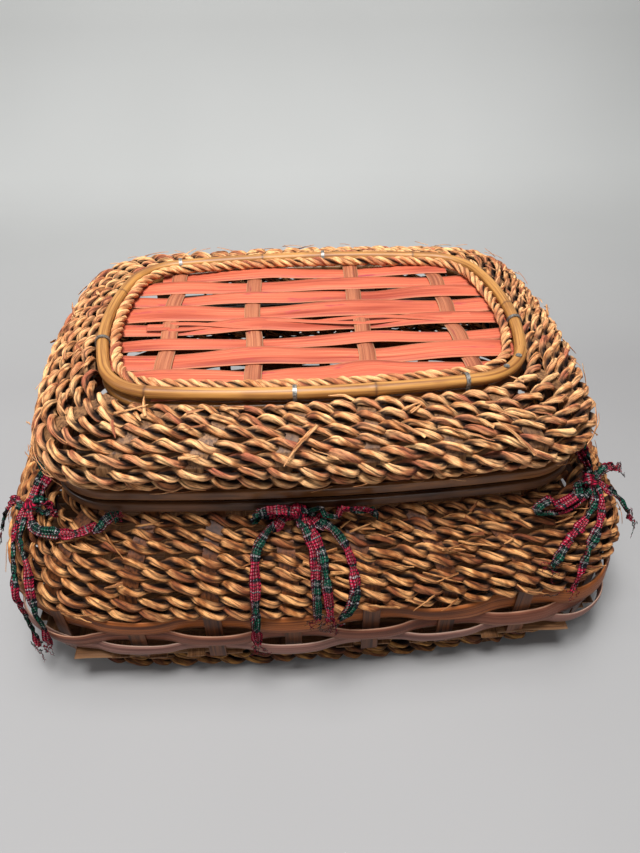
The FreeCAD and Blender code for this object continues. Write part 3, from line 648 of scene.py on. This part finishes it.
# ---- Lid wall: eight rows that swell out to a shoulder and close in under the hoop --------------
# Brighter gold leaf than the basket's, reddish in places, with the first row pressed to the rim.
SHOULDER = (0.1755, 0.1305, 0.047)
SHOULDER_RISE = 0.0217
CROWN_RISE = 0.0202
HOOP_CORNER = 0.040
BESIDE_HOOP = 0.0052
LID_STAKES = 22
LID_FIRST_X = -0.024
hoop = (*outline("under_hoop", 0.0032)[:2], HOOP_CORNER)
lid_rim_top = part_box("lid_rim_outer")[1][2]
shoulder_height = lid_rim_top + SHOULDER_RISE
tuck = lean_in(SHOULDER, (*mouth, MOUTH_CORNER), shoulder_height,
               lid_rim_top + TIE_SPACE + ROW_OUTSIDE * math.sin(LID_LEAN), LID_LEAN)
crown = lean_in(SHOULDER, hoop, shoulder_height, shoulder_height + CROWN_RISE, math.pi / 2)
lid_levels = np.concatenate([tuck[::-1], crown[1:]])
_, lid_length = up_the_wall(lid_levels, 0.0)
lid_first = front_share(*SHOULDER, LID_FIRST_X)
lid_rope = seagrass("seagrass_gold", (0.170, 0.055, 0.024), (0.60, 0.265, 0.105),
                    (0.98, 0.58, 0.285), (0.42, 0.135, 0.075))
for row in range(ROWS):
    place = row + 0.5 - (CROWDED if row == 0 else 0.0)
    (width, depth, corner, height, tilt), _ = up_the_wall(
        lid_levels, place * (lid_length - BESIDE_HOOP) / ROWS)
    runs, marks = twined(width, depth, corner, height, tilt, LID_STAKES, lid_first, row,
                         np.random.default_rng(80 + row))
    piece("lid_rope_%d" % (row + 1), runs, True, lid_rope, "lid",
          ("lid_rope_row_%d" % (row + 1),), fold_shade_and_node_ring=marks)

# ---- Hoop: a bent rattan pole round the panel, over a thinner one that closes the lid wall ------
# Honey-brown skin with a few dark-ringed nodes; its nails and wire staples are left as packed.
HOOP_RADIUS = 0.004
NODE_PLACES = (0.07, 0.21, 0.36, 0.52, 0.69, 0.86)      # shares of the way round
HOOP_STEPS, HOOP_SIDES = 700, 14
hoop_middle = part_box("top_hoop")[1][2] - HOOP_RADIUS
hoop_cane = Finish("cane_hoop", 0.42, Specular_IOR_Level=0.35)
along = hoop_cane.add("UVMap", uv_map="Weave")
skin = hoop_cane.noise(hoop_cane.stretched(along, (14.0, 14.0, 1.0)), 1.0, 4.0, 0.6)
blotch = hoop_cane.noise(hoop_cane.stretched(along, (22.0, 2.0, 1.0)), 1.0, 2.0)
gold = hoop_cane.ramp(skin, ((0.32, (0.17, 0.060, 0.014)), (0.62, (0.52, 0.245, 0.062))))
spotted = hoop_cane.mix(hoop_cane.spread(blotch, 0.5, 0.75), gold, (0.20, 0.07, 0.02))
ringed = hoop_cane.mix(hoop_cane.add("Attribute", output=2, attribute_name="fold_shade_and_node_ring"),
                       (0.07, 0.025, 0.012), spotted)
hoop_finish = hoop_cane.done(ringed, None, skin, 0.0002, 0.5)
share = np.arange(HOOP_STEPS) / HOOP_STEPS
point, out = oval(*hoop, share)
gap = np.min(np.abs(share[:, None] - np.array(NODE_PLACES)), axis=1) * oval_length(*hoop)
swell = 1 + 0.07 * np.exp(-(gap / 0.003) ** 2)
angle = 2 * math.pi * np.arange(HOOP_SIDES) / HOOP_SIDES
profile = HOOP_RADIUS * swell[:, None, None] * np.stack([np.cos(angle), np.sin(angle)], -1)
run = carry(point + UP * hoop_middle, out, np.tile(UP, (HOOP_STEPS, 1)), profile * 0.985)
ring_mark = 1 - 0.75 * np.exp(-(gap / 0.0009) ** 2)
piece("hoop_pole", [run], True, hoop_finish, "lid", ("top_hoop",),
      fold_shade_and_node_ring=[np.repeat(ring_mark, HOOP_SIDES)])
dress(cane("cane_under_hoop", (0.11, 0.038, 0.010), (0.42, 0.180, 0.045)), "under_hoop")
wire = Finish("wire_dull", 0.45, Metallic=0.8)
wire_place = wire.add("TexCoord", output=3)
tarnish = wire.noise(wire_place, 900.0, 3.0)
dress(wire.done(wire.ramp(tarnish, ((0.35, (0.10, 0.085, 0.07)), (0.65, (0.36, 0.34, 0.31)))), None,
                tarnish, 0.0001, 0.5), "hoop_nails", "hoop_ties")

# ---- Inner rope: three strands laid just inside the hoop to hide the ends of the panel ----------
inner_low, inner_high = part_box("top_inner_rope")
INNER_RADIUS = 0.0032
INNER_LAY = 0.024           # length of one turn of its strands
INNER_STEP = 0.0018
INNER_STRAND_RADIUS = 0.00185
INNER_STRAND_OFFSET = 0.0016
PLY_SIDES = 9


def cord(middle, out, upward, share, rng, turns, ply_radius, ply_offset, plies=2):
    """The plies of a cord, which turn together round its middle, and how open each point lies, a mark
    by which shade is painted towards the cord's middle.
    """
    runs, fold_shade_marks = [], []
    angle = 2 * math.pi * np.arange(PLY_SIDES) / PLY_SIDES
    for ply in 2 * math.pi * np.arange(plies) / plies:
        twist = -2 * math.pi * turns * share + ply + wander(share, rng, 60, 0.25)
        swing = np.cos(twist)[:, None] * out + np.sin(twist)[:, None] * upward
        fat = 1 + wander(share, rng, 160, 0.10)
        offset = ply_offset * (1 + wander(share, rng, 90, 0.10))
        turned = angle[None] + twist[:, None]
        leaf = (1 + 0.09 * np.cos(2 * angle + 1.0 + 9 * wander(share, rng, 40, 0.12)[:, None])
                + 0.07 * np.cos(3 * angle + 5 * wander(share, rng, 120, 0.2)[:, None]))
        reach = ply_radius * fat[:, None] * leaf
        profile = np.stack([reach * np.cos(turned), reach * np.sin(turned)], axis=-1)
        run = carry(middle + swing * offset[:, None], out, upward, profile)
        runs.append(run)
        # Painted shade: points nearer the cord's middle, between its plies, are marked dark.
        far = np.linalg.norm(run - middle[:, None], axis=2)
        fold_shade_marks.append(np.clip((far / (ply_offset + ply_radius) - 0.52) / 0.32, 0, 1).ravel())
    return runs, fold_shade_marks


inner = (inner_high[0] - INNER_RADIUS, inner_high[1] - INNER_RADIUS,
         HOOP_CORNER - BESIDE_HOOP - INNER_RADIUS)
long = oval_length(*inner)
steps = int(long / INNER_STEP)
share = np.arange(steps) / steps
point, out = oval(*inner, share)
rng = np.random.default_rng(7)
middle = point + UP * ((inner_low[2] + inner_high[2]) / 2)
runs, marks = cord(middle, out, np.tile(UP, (steps, 1)), share, rng, round(long / INNER_LAY),
                   INNER_STRAND_RADIUS, INNER_STRAND_OFFSET, 3)
piece("inner_rope", runs, True, lid_rope, "lid", ("top_inner_rope",), fold_shade_and_node_ring=marks)

# ---- Panel: coral-dyed cane woven over four brown spokes inside the hoop -------------------------
# Weavers bow between the spokes and leave lens-shaped gaps; one pair of thin strips is twined in.
PANEL_SPOKES = (-0.697, -0.287, 0.247, 0.712)       # shares of the hoop's half width
PANEL_WEAVERS = ((-0.887, 0.104), (-0.714, 0.213), (-0.478, 0.213), (-0.276, 0.150),
                 (-0.040, 0.173), (0.173, 0.230), (0.392, 0.179), (0.593, 0.202), (0.806, 0.190))
WEAVER_RISE, SPOKE_RISE = 0.0013, 0.0014    # over and under a crossing strip
panel_low, panel_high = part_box("panel_spokes")[0][2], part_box("panel_weavers")[1][2]
panel_level = (panel_low + panel_high) / 2
spoke_x = np.array(PANEL_SPOKES) * hoop[0]


def half_side(width, depth, corner, place, axis):
    """How far an oval reaches in X at a depth (axis 0), or in Y at a width (axis 1)."""
    around = oval(width, depth, corner, np.linspace(0, 1, 2001))[0]
    near = np.abs(np.abs(around[:, 1 - axis]) - abs(place)) < 0.0015
    return float(np.abs(around[near, axis]).max())


def along_path(path):
    """Unit directions along an open path."""
    ahead = np.gradient(path, axis=0)
    return ahead / np.linalg.norm(ahead, axis=1)[:, None]


def laid_flat(path, half, thick, dome=0.0):
    """A flat strip carried along a path with its face up."""
    ahead = along_path(path)
    across = np.cross(UP, ahead)
    return carry(path, np.cross(ahead, across), across, flat_profile(half, thick, dome))


coral = splint("splint_coral", (0.25, 0.035, 0.020), (0.50, 0.105, 0.055), (0.74, 0.215, 0.110),
               (0.60, 0.22, 0.12), (0.36, 0.045, 0.060))
spoke_splint = splint("splint_spoke", (0.15, 0.040, 0.022), (0.34, 0.105, 0.052),
                      (0.55, 0.22, 0.11), (0.52, 0.27, 0.15), (0.22, 0.035, 0.04))
runs = []
for index, (place, share_wide) in enumerate(PANEL_WEAVERS):
    rng = np.random.default_rng(120 + index)
    y, half = place * hoop[1], share_wide * hoop[1] / 2
    end = half_side(*hoop, abs(y) + half, 0) - 0.001
    s = np.linspace(0, 1, 240)
    x = -end + 2 * end * s
    between = np.interp(x, np.concatenate([[spoke_x[0] - 0.06], spoke_x, [spoke_x[3] + 0.06]]),
                        np.arange(6) + index)
    rise = WEAVER_RISE * np.cos(math.pi * between)
    bow = np.sin(math.pi * np.clip((x / end + 1) / 2, 0, 1)) ** 2
    lean = wander(s, rng, 5, 0.0010) * bow
    width = half * (0.96 + 0.09 * np.cos(math.pi * between) + wander(s, rng, 5, 0.02))
    path = np.stack([x, y + lean, panel_level + rise], axis=-1)
    runs.append(laid_flat(path, width, 0.0010, 0.0009))
piece("panel_weaver_strips", runs, False, coral, "lid", ("panel_weavers",),
      strip_marks())
weaver_y = np.array([place for place, _ in PANEL_WEAVERS]) * hoop[1]
runs = []
for index, x in enumerate(spoke_x):
    rng = np.random.default_rng(140 + index)
    end = half_side(*hoop, abs(x) + 0.0055, 1) - 0.001
    s = np.linspace(0, 1, 200)
    y = -end + 2 * end * s
    between = np.interp(y, weaver_y, np.arange(9)) + index
    rise = SPOKE_RISE * np.cos(math.pi * between)
    path = np.stack([x + wander(s, rng, 4, 0.0006), y, panel_level + rise], axis=-1)
    runs.append(laid_flat(path, 0.0056, 0.0011, 0.0005))
piece("panel_spoke_strips", runs, False, spoke_splint, "lid", ("panel_spokes",),
      strip_marks())
twine_low, twine_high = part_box("panel_twining")
runs = []
s = np.linspace(0, 1, 300)
x = twine_low[0] + (twine_high[0] - twine_low[0]) * s
between = np.interp(x, spoke_x, np.arange(4), left=-0.25, right=3.25)
for half in (1, -1):
    rng = np.random.default_rng(160 + half)
    y = (twine_low[1] + twine_high[1]) / 2 + half * 0.0036 * np.cos(math.pi * between)
    z = (twine_low[2] + twine_high[2]) / 2 + half * 0.0006 * np.sin(math.pi * between)
    path = np.stack([x, y + wander(s, rng, 8, 0.0003), z], axis=-1)
    runs.append(laid_flat(path, 0.0019, 0.0009))
piece("panel_twine_strips", runs, False, coral, "lid", ("panel_twining",),
      strip_marks())

# ---- Hinge lashings: twisted cord wound round the two rims at the back --------------------------
lash_cord = seagrass("lashing_leaf", (0.13, 0.05, 0.02), (0.34, 0.18, 0.06), (0.58, 0.37, 0.14),
                     (0.2, 0.08, 0.03))
LASH_STEPS = 240
LASH_TURNS = 8
LASH_PLY_RADIUS, LASH_PLY_OFFSET = 0.00055, 0.00042
SQUARENESS = 1.35           # how far the loop's round is pushed out to a box with round corners
for node, body in (("body_lashing_left", "basket"), ("body_lashing_right", "basket"),
                   ("lid_lashing_left", "lid"), ("lid_lashing_right", "lid")):
    low, high = (np.array(corner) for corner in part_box(node))
    radius = (high[0] - low[0]) / 2
    half_y, half_z = (high[1] - low[1]) / 2 - radius, (high[2] - low[2]) / 2 - radius
    share = np.arange(LASH_STEPS) / LASH_STEPS
    angle = 2 * math.pi * share
    round_y = np.sign(np.cos(angle)) * np.minimum(np.abs(np.cos(angle)) * SQUARENESS, 1.0)
    round_z = np.sign(np.sin(angle)) * np.minimum(np.abs(np.sin(angle)) * SQUARENESS, 1.0)
    out = np.stack([np.zeros(LASH_STEPS), np.cos(angle), np.sin(angle)], axis=-1)
    path = (low + high) / 2 + np.stack([np.zeros(LASH_STEPS), half_y * round_y, half_z * round_z], -1)
    ahead = np.roll(path, -1, 0) - np.roll(path, 1, 0)
    ahead /= np.linalg.norm(ahead, axis=1)[:, None]
    out -= ahead * (out * ahead).sum(axis=1)[:, None]
    out /= np.linalg.norm(out, axis=1)[:, None]
    rng = np.random.default_rng(170 + len(node))
    runs, marks = cord(path, out, np.cross(out, ahead), share, rng, LASH_TURNS, LASH_PLY_RADIUS,
                       LASH_PLY_OFFSET)
    piece(node.replace("lashing", "lash_cord"), runs, True, lash_cord, body, (node,),
          fold_shade_and_node_ring=marks)

# ---- Bows: torn strips of tartan cotton knotted round the basket's rim ---------------------------
# Each is a knot with two loops and loose tails, folded narrow along its length and frayed at its
# ends.  Places are (run, drop, lift): round the mouth from the middle of the front, down the
# outside from the rim's top, and off the wall.
SETTS = 19.0                # repeats of the tartan's bands in a metre
THREAD_LINES = 470.0        # dark lines in a metre along the strip
FOLD_LINES = 5.0            # and across its width
tartan = Finish("tartan_cotton", 0.95, Specular_IOR_Level=0.08)
cloth_uv = tartan.add("UVMap", uv_map="Weave")
cloth_u = tartan.add("SeparateXYZ", {"Vector": cloth_uv}, output=0)
cloth_v = tartan.add("SeparateXYZ", {"Vector": cloth_uv}, output=1)
RED, GREEN = (0.46, 0.014, 0.048), (0.010, 0.085, 0.050)
BLACK, WHITE = (0.014, 0.012, 0.018), (0.32, 0.29, 0.29)
sett = tartan.add("Math", {0: tartan.add("Math", {0: cloth_u, 1: SETTS}, operation="MULTIPLY")},
                  operation="FRACT")
bands = tartan.ramp(sett, ((0.0, RED), (0.10, BLACK), (0.13, RED), (0.24, WHITE), (0.26, RED),
                           (0.36, BLACK), (0.41, WHITE), (0.43, BLACK), (0.48, GREEN),
                           (0.54, BLACK), (0.57, WHITE), (0.59, BLACK), (0.63, GREEN),
                           (0.72, BLACK), (0.75, GREEN), (0.82, WHITE), (0.84, BLACK),
                           (0.90, RED)), "CONSTANT")
fold = tartan.add("Math", {0: tartan.add("Math", {0: cloth_v, 1: 0.9, 2: 0.15},
                                         operation="MULTIPLY_ADD"), 1: 1.0}, operation="PINGPONG")
lines = tartan.ramp(fold, ((0.0, BLACK), (0.14, RED), (0.24, WHITE), (0.29, RED), (0.38, BLACK),
                           (0.46, WHITE), (0.50, BLACK), (0.58, GREEN), (0.68, BLACK),
                           (0.74, WHITE), (0.79, GREEN), (0.88, BLACK)), "CONSTANT")
weft = tartan.add("TexWave", {"Vector": tartan.stretched(cloth_uv, (1.0, 0.010, 1.0)),
                              "Scale": 330.0, "Distortion": 0.6}, bands_direction="DIAGONAL")
cross_thread = tartan.mix(tartan.spread(weft, 0.35, 0.65), bands, lines)
plaid = tartan.mix(0.20, cross_thread, bands)
for direction, pitch, blackness in ((cloth_u, THREAD_LINES, 0.30), (cloth_v, FOLD_LINES, 0.38)):
    place = tartan.add("Math", {0: tartan.add("Math", {0: direction, 1: pitch},
                                              operation="MULTIPLY")}, operation="FRACT")
    thread = tartan.add("Math", {0: place, 1: 0.34}, operation="LESS_THAN")
    plaid = tartan.mix(thread, plaid, tartan.mix(1.0, plaid, (blackness,) * 3, "MULTIPLY"))
creased = tartan.noise(tartan.stretched(cloth_uv, (70.0, 1.2, 1.0)), 1.0, 3.0)
shade = tartan.ramp(creased, ((0.3, (0.62, 0.62, 0.62)), (0.6, (1.1, 1.1, 1.1))))
tartan_cloth = tartan.done(tartan.mix(1.0, plaid, shade, "MULTIPLY"), None, weft, 0.00025, 0.8)

MOUTH_LENGTH = oval_length(*mouth, MOUTH_CORNER)
FRONT_MIDDLE = front_share(*mouth, MOUTH_CORNER, 0.0)
STRIP_WIDTH = 0.0100        # laid out flat
FOLDED_HALF = 0.0030        # half its width as it hangs, folded
CURL = 0.0008
PLEAT = 0.0021              # from the top of a fold to its bottom
CLOTH_HALF_THICKNESS = 0.0002
STRIP_POINTS = 13           # across the strip
THREADS = 5                 # frayed threads at each end
THREAD_RADIUS = 0.00028
THREAD_REACH = 0.010
# The outside that the bows lie on: the belly, the faces of the rows, and the rim.
face_tilt = up_the_wall(body_levels, np.linspace(0, body_length, 15))[0][4]
rope_face = body_levels.copy()
rope_face[:, :3] += (ROW_OUTSIDE * np.cos(face_tilt))[:, None]
rope_face[:, 3] += ROW_OUTSIDE * np.sin(face_tilt)
rim_plan = np.array([*mouth, MOUTH_CORNER]) + 0.0047
belly_plan = np.array([*belly, BELLY_CORNER]) + ROW_OUTSIDE
outside = np.array([[*belly_plan, 0.0]] + rope_face.tolist()
                   + [[*rim_plan, body_rim_low], [*rim_plan, body_rim_top]])
outside_length = up_the_wall(outside, 0.0)[1]


def on_wall(places):
    """Points over the outside of the basket and the outward direction at each."""
    run, drop, lift = np.asarray(places).T
    distance = outside_length - drop
    (width, depth, corner, height, _), _ = up_the_wall(outside, distance)
    tilt = sum(up_the_wall(outside, distance + step)[0][4]
               for step in (-STRIP_WIDTH, 0.0, STRIP_WIDTH)) / 3
    point, out = oval(width, depth, corner, FRONT_MIDDLE + run / MOUTH_LENGTH)
    outward = out * np.cos(tilt)[:, None] + UP * np.sin(tilt)[:, None]
    return point + UP * height[:, None] + outward * lift[:, None], outward


def smooth_line(points, step=0.0016):
    """A Catmull-Rom line through the points, cut into even steps."""
    points = np.asarray(points, dtype=float)
    ends = np.concatenate([[2 * points[0] - points[1]], points, [2 * points[-1] - points[-2]]])
    t = np.linspace(0, 1, 24, endpoint=False)[:, None]
    a, b, c, d = (ends[i:len(ends) - 3 + i, None] for i in range(4))
    line = 0.5 * (2 * b + (c - a) * t + (2 * a - 5 * b + 4 * c - d) * t ** 2
                  + (3 * b - a - 3 * c + d) * t ** 3)
    line = np.concatenate([line.reshape(-1, 3), points[-1:]])
    marks = np.concatenate([[0], np.cumsum(np.linalg.norm(np.diff(line, axis=0), axis=1))])
    even = np.linspace(0, marks[-1], max(8, int(marks[-1] / step)))
    return np.column_stack([np.interp(even, marks, column) for column in line.T]), marks[-1]


def ribbon(places, rng, looped):
    """A torn strip of cloth laid through places, and its line.

    Its section is a triangle wave of one and a half folds under a shallow curl, and it rolls a
    little from side to side.  A loop keeps one side throughout; a tail lies on the wall and tapers.
    """
    line, _ = smooth_line(places)
    path, outward = on_wall(line)
    ahead = along_path(path)
    if looped:
        way = path[len(path) // 2] - path[0]
        side = np.cross(outward.mean(axis=0), way / np.linalg.norm(way)) * 0.6
        side = side + 0.8 * outward.mean(axis=0)
        side = side - ahead * (ahead @ side)[:, None]
    else:
        side = np.cross(outward, ahead)
    side /= np.linalg.norm(side, axis=1)[:, None]
    s = np.linspace(0, 1, len(path))
    roll = wander(s, rng, 4, 0.28) * np.sin(math.pi * s) ** 0.5
    through = np.cross(ahead, side)
    across = side * np.cos(roll)[:, None] + through * np.sin(roll)[:, None]
    through = np.cross(ahead, across)
    a = np.linspace(-1, 1, STRIP_POINTS)
    bend = CURL * (wander(s, rng, 6, 0.9)[:, None] + 0.2) * (1 - a ** 2)
    crease = wander(s, rng, 7, 0.35)[:, None]
    pleat = PLEAT * (np.abs(((a[None] + crease) * 1.5) % 2 - 1) - 0.5)
    edge = FOLDED_HALF * (1 + wander(s, rng, 9, 0.13))
    edge = edge * (1 - (0 if looped else 0.45 * np.clip((s - 0.95) / 0.05, 0, 1) ** 2))
    flat = bend + pleat
    outer = np.stack([flat + CLOTH_HALF_THICKNESS, edge[:, None] * a], axis=-1)
    inner = np.stack([flat - CLOTH_HALF_THICKNESS, edge[:, None] * a], axis=-1)[:, ::-1]
    return carry(path, through, across, np.concatenate([outer, inner], axis=1)), line


def knot_form(place, way, rng, radius=0.0052, depth=0.0040):
    """A crossed lump of cloth: a ball pinched at its middle, with five folds that wind round it."""
    centre, outward = on_wall([place])
    axis = on_wall([np.add(place, way)])[0][0] - centre[0]
    axis /= np.linalg.norm(axis)
    out = outward[0] - axis * (outward[0] @ axis)
    out /= np.linalg.norm(out)
    polar = np.linspace(0.12, math.pi - 0.12, 26)
    turn = 2 * math.pi * np.arange(30) / 30
    fold = 1 + 0.13 * np.cos(5 * turn[None] + 3.0 * polar[:, None]) * np.sin(polar)[:, None]
    pinch = 1 - 0.16 * np.exp(-((polar - math.pi / 2) / 0.35) ** 2)
    size = np.sin(polar)[:, None] ** 0.8 * fold * pinch[:, None]
    path = centre[0] - axis * (radius * np.cos(polar))[:, None]
    profile = np.stack([depth * size * np.cos(turn), radius * size * np.sin(turn)], axis=-1)
    count = len(polar)
    return carry(path, np.tile(out, (count, 1)), np.tile(np.cross(out, axis), (count, 1)), profile)


def loose_threads(starts, rng):
    """Frayed threads: thin tapering five-sided tubes that wander off the end of a torn strip."""
    runs = []
    angle = 2 * math.pi * np.arange(5) / 5
    for place, way in starts:
        for _ in range(THREADS):
            s = np.linspace(0, 1, 14)
            drift = np.cumsum(rng.normal(0, 0.0009, (14, 3)), axis=0)
            drift[:, 2] = np.abs(drift[:, 2]) * 0.4
            reach = THREAD_REACH * rng.uniform(0.5, 1.0)
            off = np.array([rng.uniform(-0.004, 0.004), rng.uniform(-0.003, 0.001), 0.0006])
            places = np.asarray(place) + off + s[:, None] * reach * np.asarray(way) + drift
            path, outward = on_wall(places)
            ahead = along_path(path)
            side = np.cross(outward, ahead)
            side /= np.linalg.norm(side, axis=1)[:, None]
            thick = THREAD_RADIUS * (1 - 0.6 * s)
            ring = thick[:, None, None] * np.stack([np.cos(angle), np.sin(angle)], -1)
            runs.append(carry(path, np.cross(ahead, side), side, ring))
    return runs


MM = 0.001
BOWS = {
    "front": {
        "knot": ((-16, 5, 5), (0.9, 0.2, 0)),
        "loops": [[(-17, 4, 6), (-26, 1, 8), (-36, 1, 9), (-43, 6, 8), (-37, 11, 7), (-28, 10, 6),
                   (-18, 7, 5)],
                  [(-14, 3, 6), (-4, 0, 9), (10, 0, 11), (23, 3, 11), (29, 9, 9), (20, 12, 8),
                   (4, 9, 7), (-13, 6, 5)]],
        "tails": [[(-18, 7, 5), (-25, 14, 5), (-36, 25, 4), (-42, 38, 3), (-43, 60, 3), (-44, 86, 3),
                   (-44, 108, 3)],
                  [(-17, 8, 5), (-16, 18, 6), (-12, 36, 5), (-14, 56, 4), (-15, 82, 4)],
                  [(-15, 8, 6), (-13, 18, 6), (-9, 36, 6), (-9, 56, 5), (-9, 84, 5)],
                  [(-13, 7, 5), (-6, 18, 6), (1, 26, 6), (5, 38, 5), (5, 54, 5), (2, 70, 5),
                   (-5, 83, 5)]]},
    "left": {
        "knot": ((-176, 30, 5), (0.7, -0.6, 0)),
        "loops": [[(-178, 28, 6), (-184, 18, 9), (-192, 4, 12), (-194, -7, 13), (-188, -6, 11),
                   (-182, 8, 8), (-177, 26, 5)],
                  [(-174, 28, 6), (-167, 20, 8), (-159, 16, 9), (-155, 19, 8), (-160, 24, 6),
                   (-172, 30, 4)]],
        "tails": [[(-174, 32, 6), (-164, 36, 4), (-150, 31, 4), (-136, 26, 6), (-128, 17, 7),
                   (-122, 7, 7)],
                  [(-179, 33, 6), (-187, 40, 4), (-198, 46, 3), (-206, 58, 3), (-204, 74, 3)],
                  [(-177, 34, 6), (-176, 45, 5), (-165, 57, 5), (-160, 80, 5), (-160, 104, 5),
                   (-160, 132, 6)],
                  [(-175, 34, 6), (-168, 44, 6), (-154, 55, 6), (-147, 76, 6), (-146, 98, 6),
                   (-148, 116, 6)]]},
    "right": {
        "knot": ((159, 26, 5), (0.9, -0.4, 0)),
        "loops": [[(157, 25, 6), (148, 20, 9), (134, 19, 10), (120, 22, 10), (114, 26, 8),
                   (126, 28, 5), (156, 28, 4)],
                  [(161, 24, 6), (170, 15, 9), (182, 6, 11), (191, 4, 12), (192, 9, 10), (182, 17, 8),
                   (162, 28, 4)]],
        "tails": [[(156, 28, 6), (149, 35, 4), (136, 39, 3), (118, 46, 3), (102, 60, 3)],
                  [(158, 30, 6), (152, 38, 5), (134, 48, 5), (120, 58, 5), (108, 78, 5)],
                  [(160, 30, 6), (161, 38, 6), (164, 48, 6), (162, 58, 6), (165, 70, 6)],
                  [(163, 28, 6), (171, 32, 7), (180, 40, 7), (188, 54, 8)]]},
}
for number, (name, bow) in enumerate(BOWS.items()):
    rng = np.random.default_rng(200 + number)
    place, way = bow["knot"]
    lump = knot_form(np.multiply(place, MM), np.multiply(way, MM * 5), rng)
    knot = piece("bow_%s_knot_cloth" % name, [lump], False, tartan_cloth, "basket",
                 ("bow_%s_knot" % name,))
    ends = []
    for kind in ("loops", "tails"):
        made = [ribbon(np.multiply(points, MM), rng, kind == "loops") for points in bow[kind]]
        for index, (run, line) in enumerate(made):
            cloth = piece("bow_%s_%s_%d" % (name, kind[:-1], index + 1), [run], False, tartan_cloth,
                          "basket",
                          ("bow_%s_%s" % (name, kind),) if index == 0 else (),
                          strip_marks(STRIP_POINTS), picture_start=0.011 * number + 0.019 * index)
            length = float(np.linalg.norm(np.diff(run.mean(axis=1), axis=0), axis=1).sum())
            if kind == "tails":
                heading = line[-1] - line[-6]
                ends.append((line[-1], heading / np.linalg.norm(heading)))
    piece("bow_%s_threads" % name, loose_threads(ends, rng), False, tartan_cloth, "basket")

# ---- Wisps: ends and blades of leaf that have worked loose from the rows -------------------------
# Short flat blades rooted in the rows, lying mostly along them and lifting at the tip.
WISPS = 150
WISP_STEPS = 9
WISP_ROOT = 0.0056          # from the stakes' middle to where a blade starts


def wisps(levels, length, count, rng, low, high, lift):
    """Tapering blades: each starts on the rows, runs along them and curves off the wall."""
    runs = []
    s = np.linspace(0, 1, WISP_STEPS)
    for _ in range(count):
        reach = rng.uniform(0.006, 0.019)
        start, climb = rng.uniform(0, 1), rng.uniform(low, high) * length
        turn = rng.choice((-1, 1)) * reach / MOUTH_LENGTH
        rise = rng.normal(0, 0.35) * reach
        up = np.clip(climb + rise * s, 0.0, length)
        (width, depth, corner, height, tilt), _ = up_the_wall(levels, up)
        point, out = oval(width, depth, corner, start + turn * s)
        off = WISP_ROOT + rng.uniform(0.2, 1.0) * lift * s ** 2 + 0.0008 * np.sin(3 * s)
        outward = out * np.cos(tilt)[:, None] + UP * np.sin(tilt)[:, None]
        path = point + UP * height[:, None] + outward * off[:, None]
        ahead = along_path(path)
        side = np.cross(outward, ahead)
        side /= np.linalg.norm(side, axis=1)[:, None]
        half = rng.uniform(0.0003, 0.0013) * (1 - 0.8 * s ** 3)
        runs.append(carry(path, np.cross(ahead, side), side,
                          flat_profile(half, 0.00025, 0.0002, 3)))
    return runs


for name, body, levels, length, finish in (
        ("body_wisps", "basket", body_levels, body_length, body_rope),
        ("lid_wisps", "lid", lid_levels, lid_length - BESIDE_HOOP, lid_rope)):
    blades = wisps(levels, length, WISPS, np.random.default_rng(300 + len(name)), 0.05, 0.97, 0.003)
    piece(name, blades, False, finish, body, (), strip_marks(3),
          fold_shade_and_node_ring=[np.ones(WISPS * WISP_STEPS * 6)])
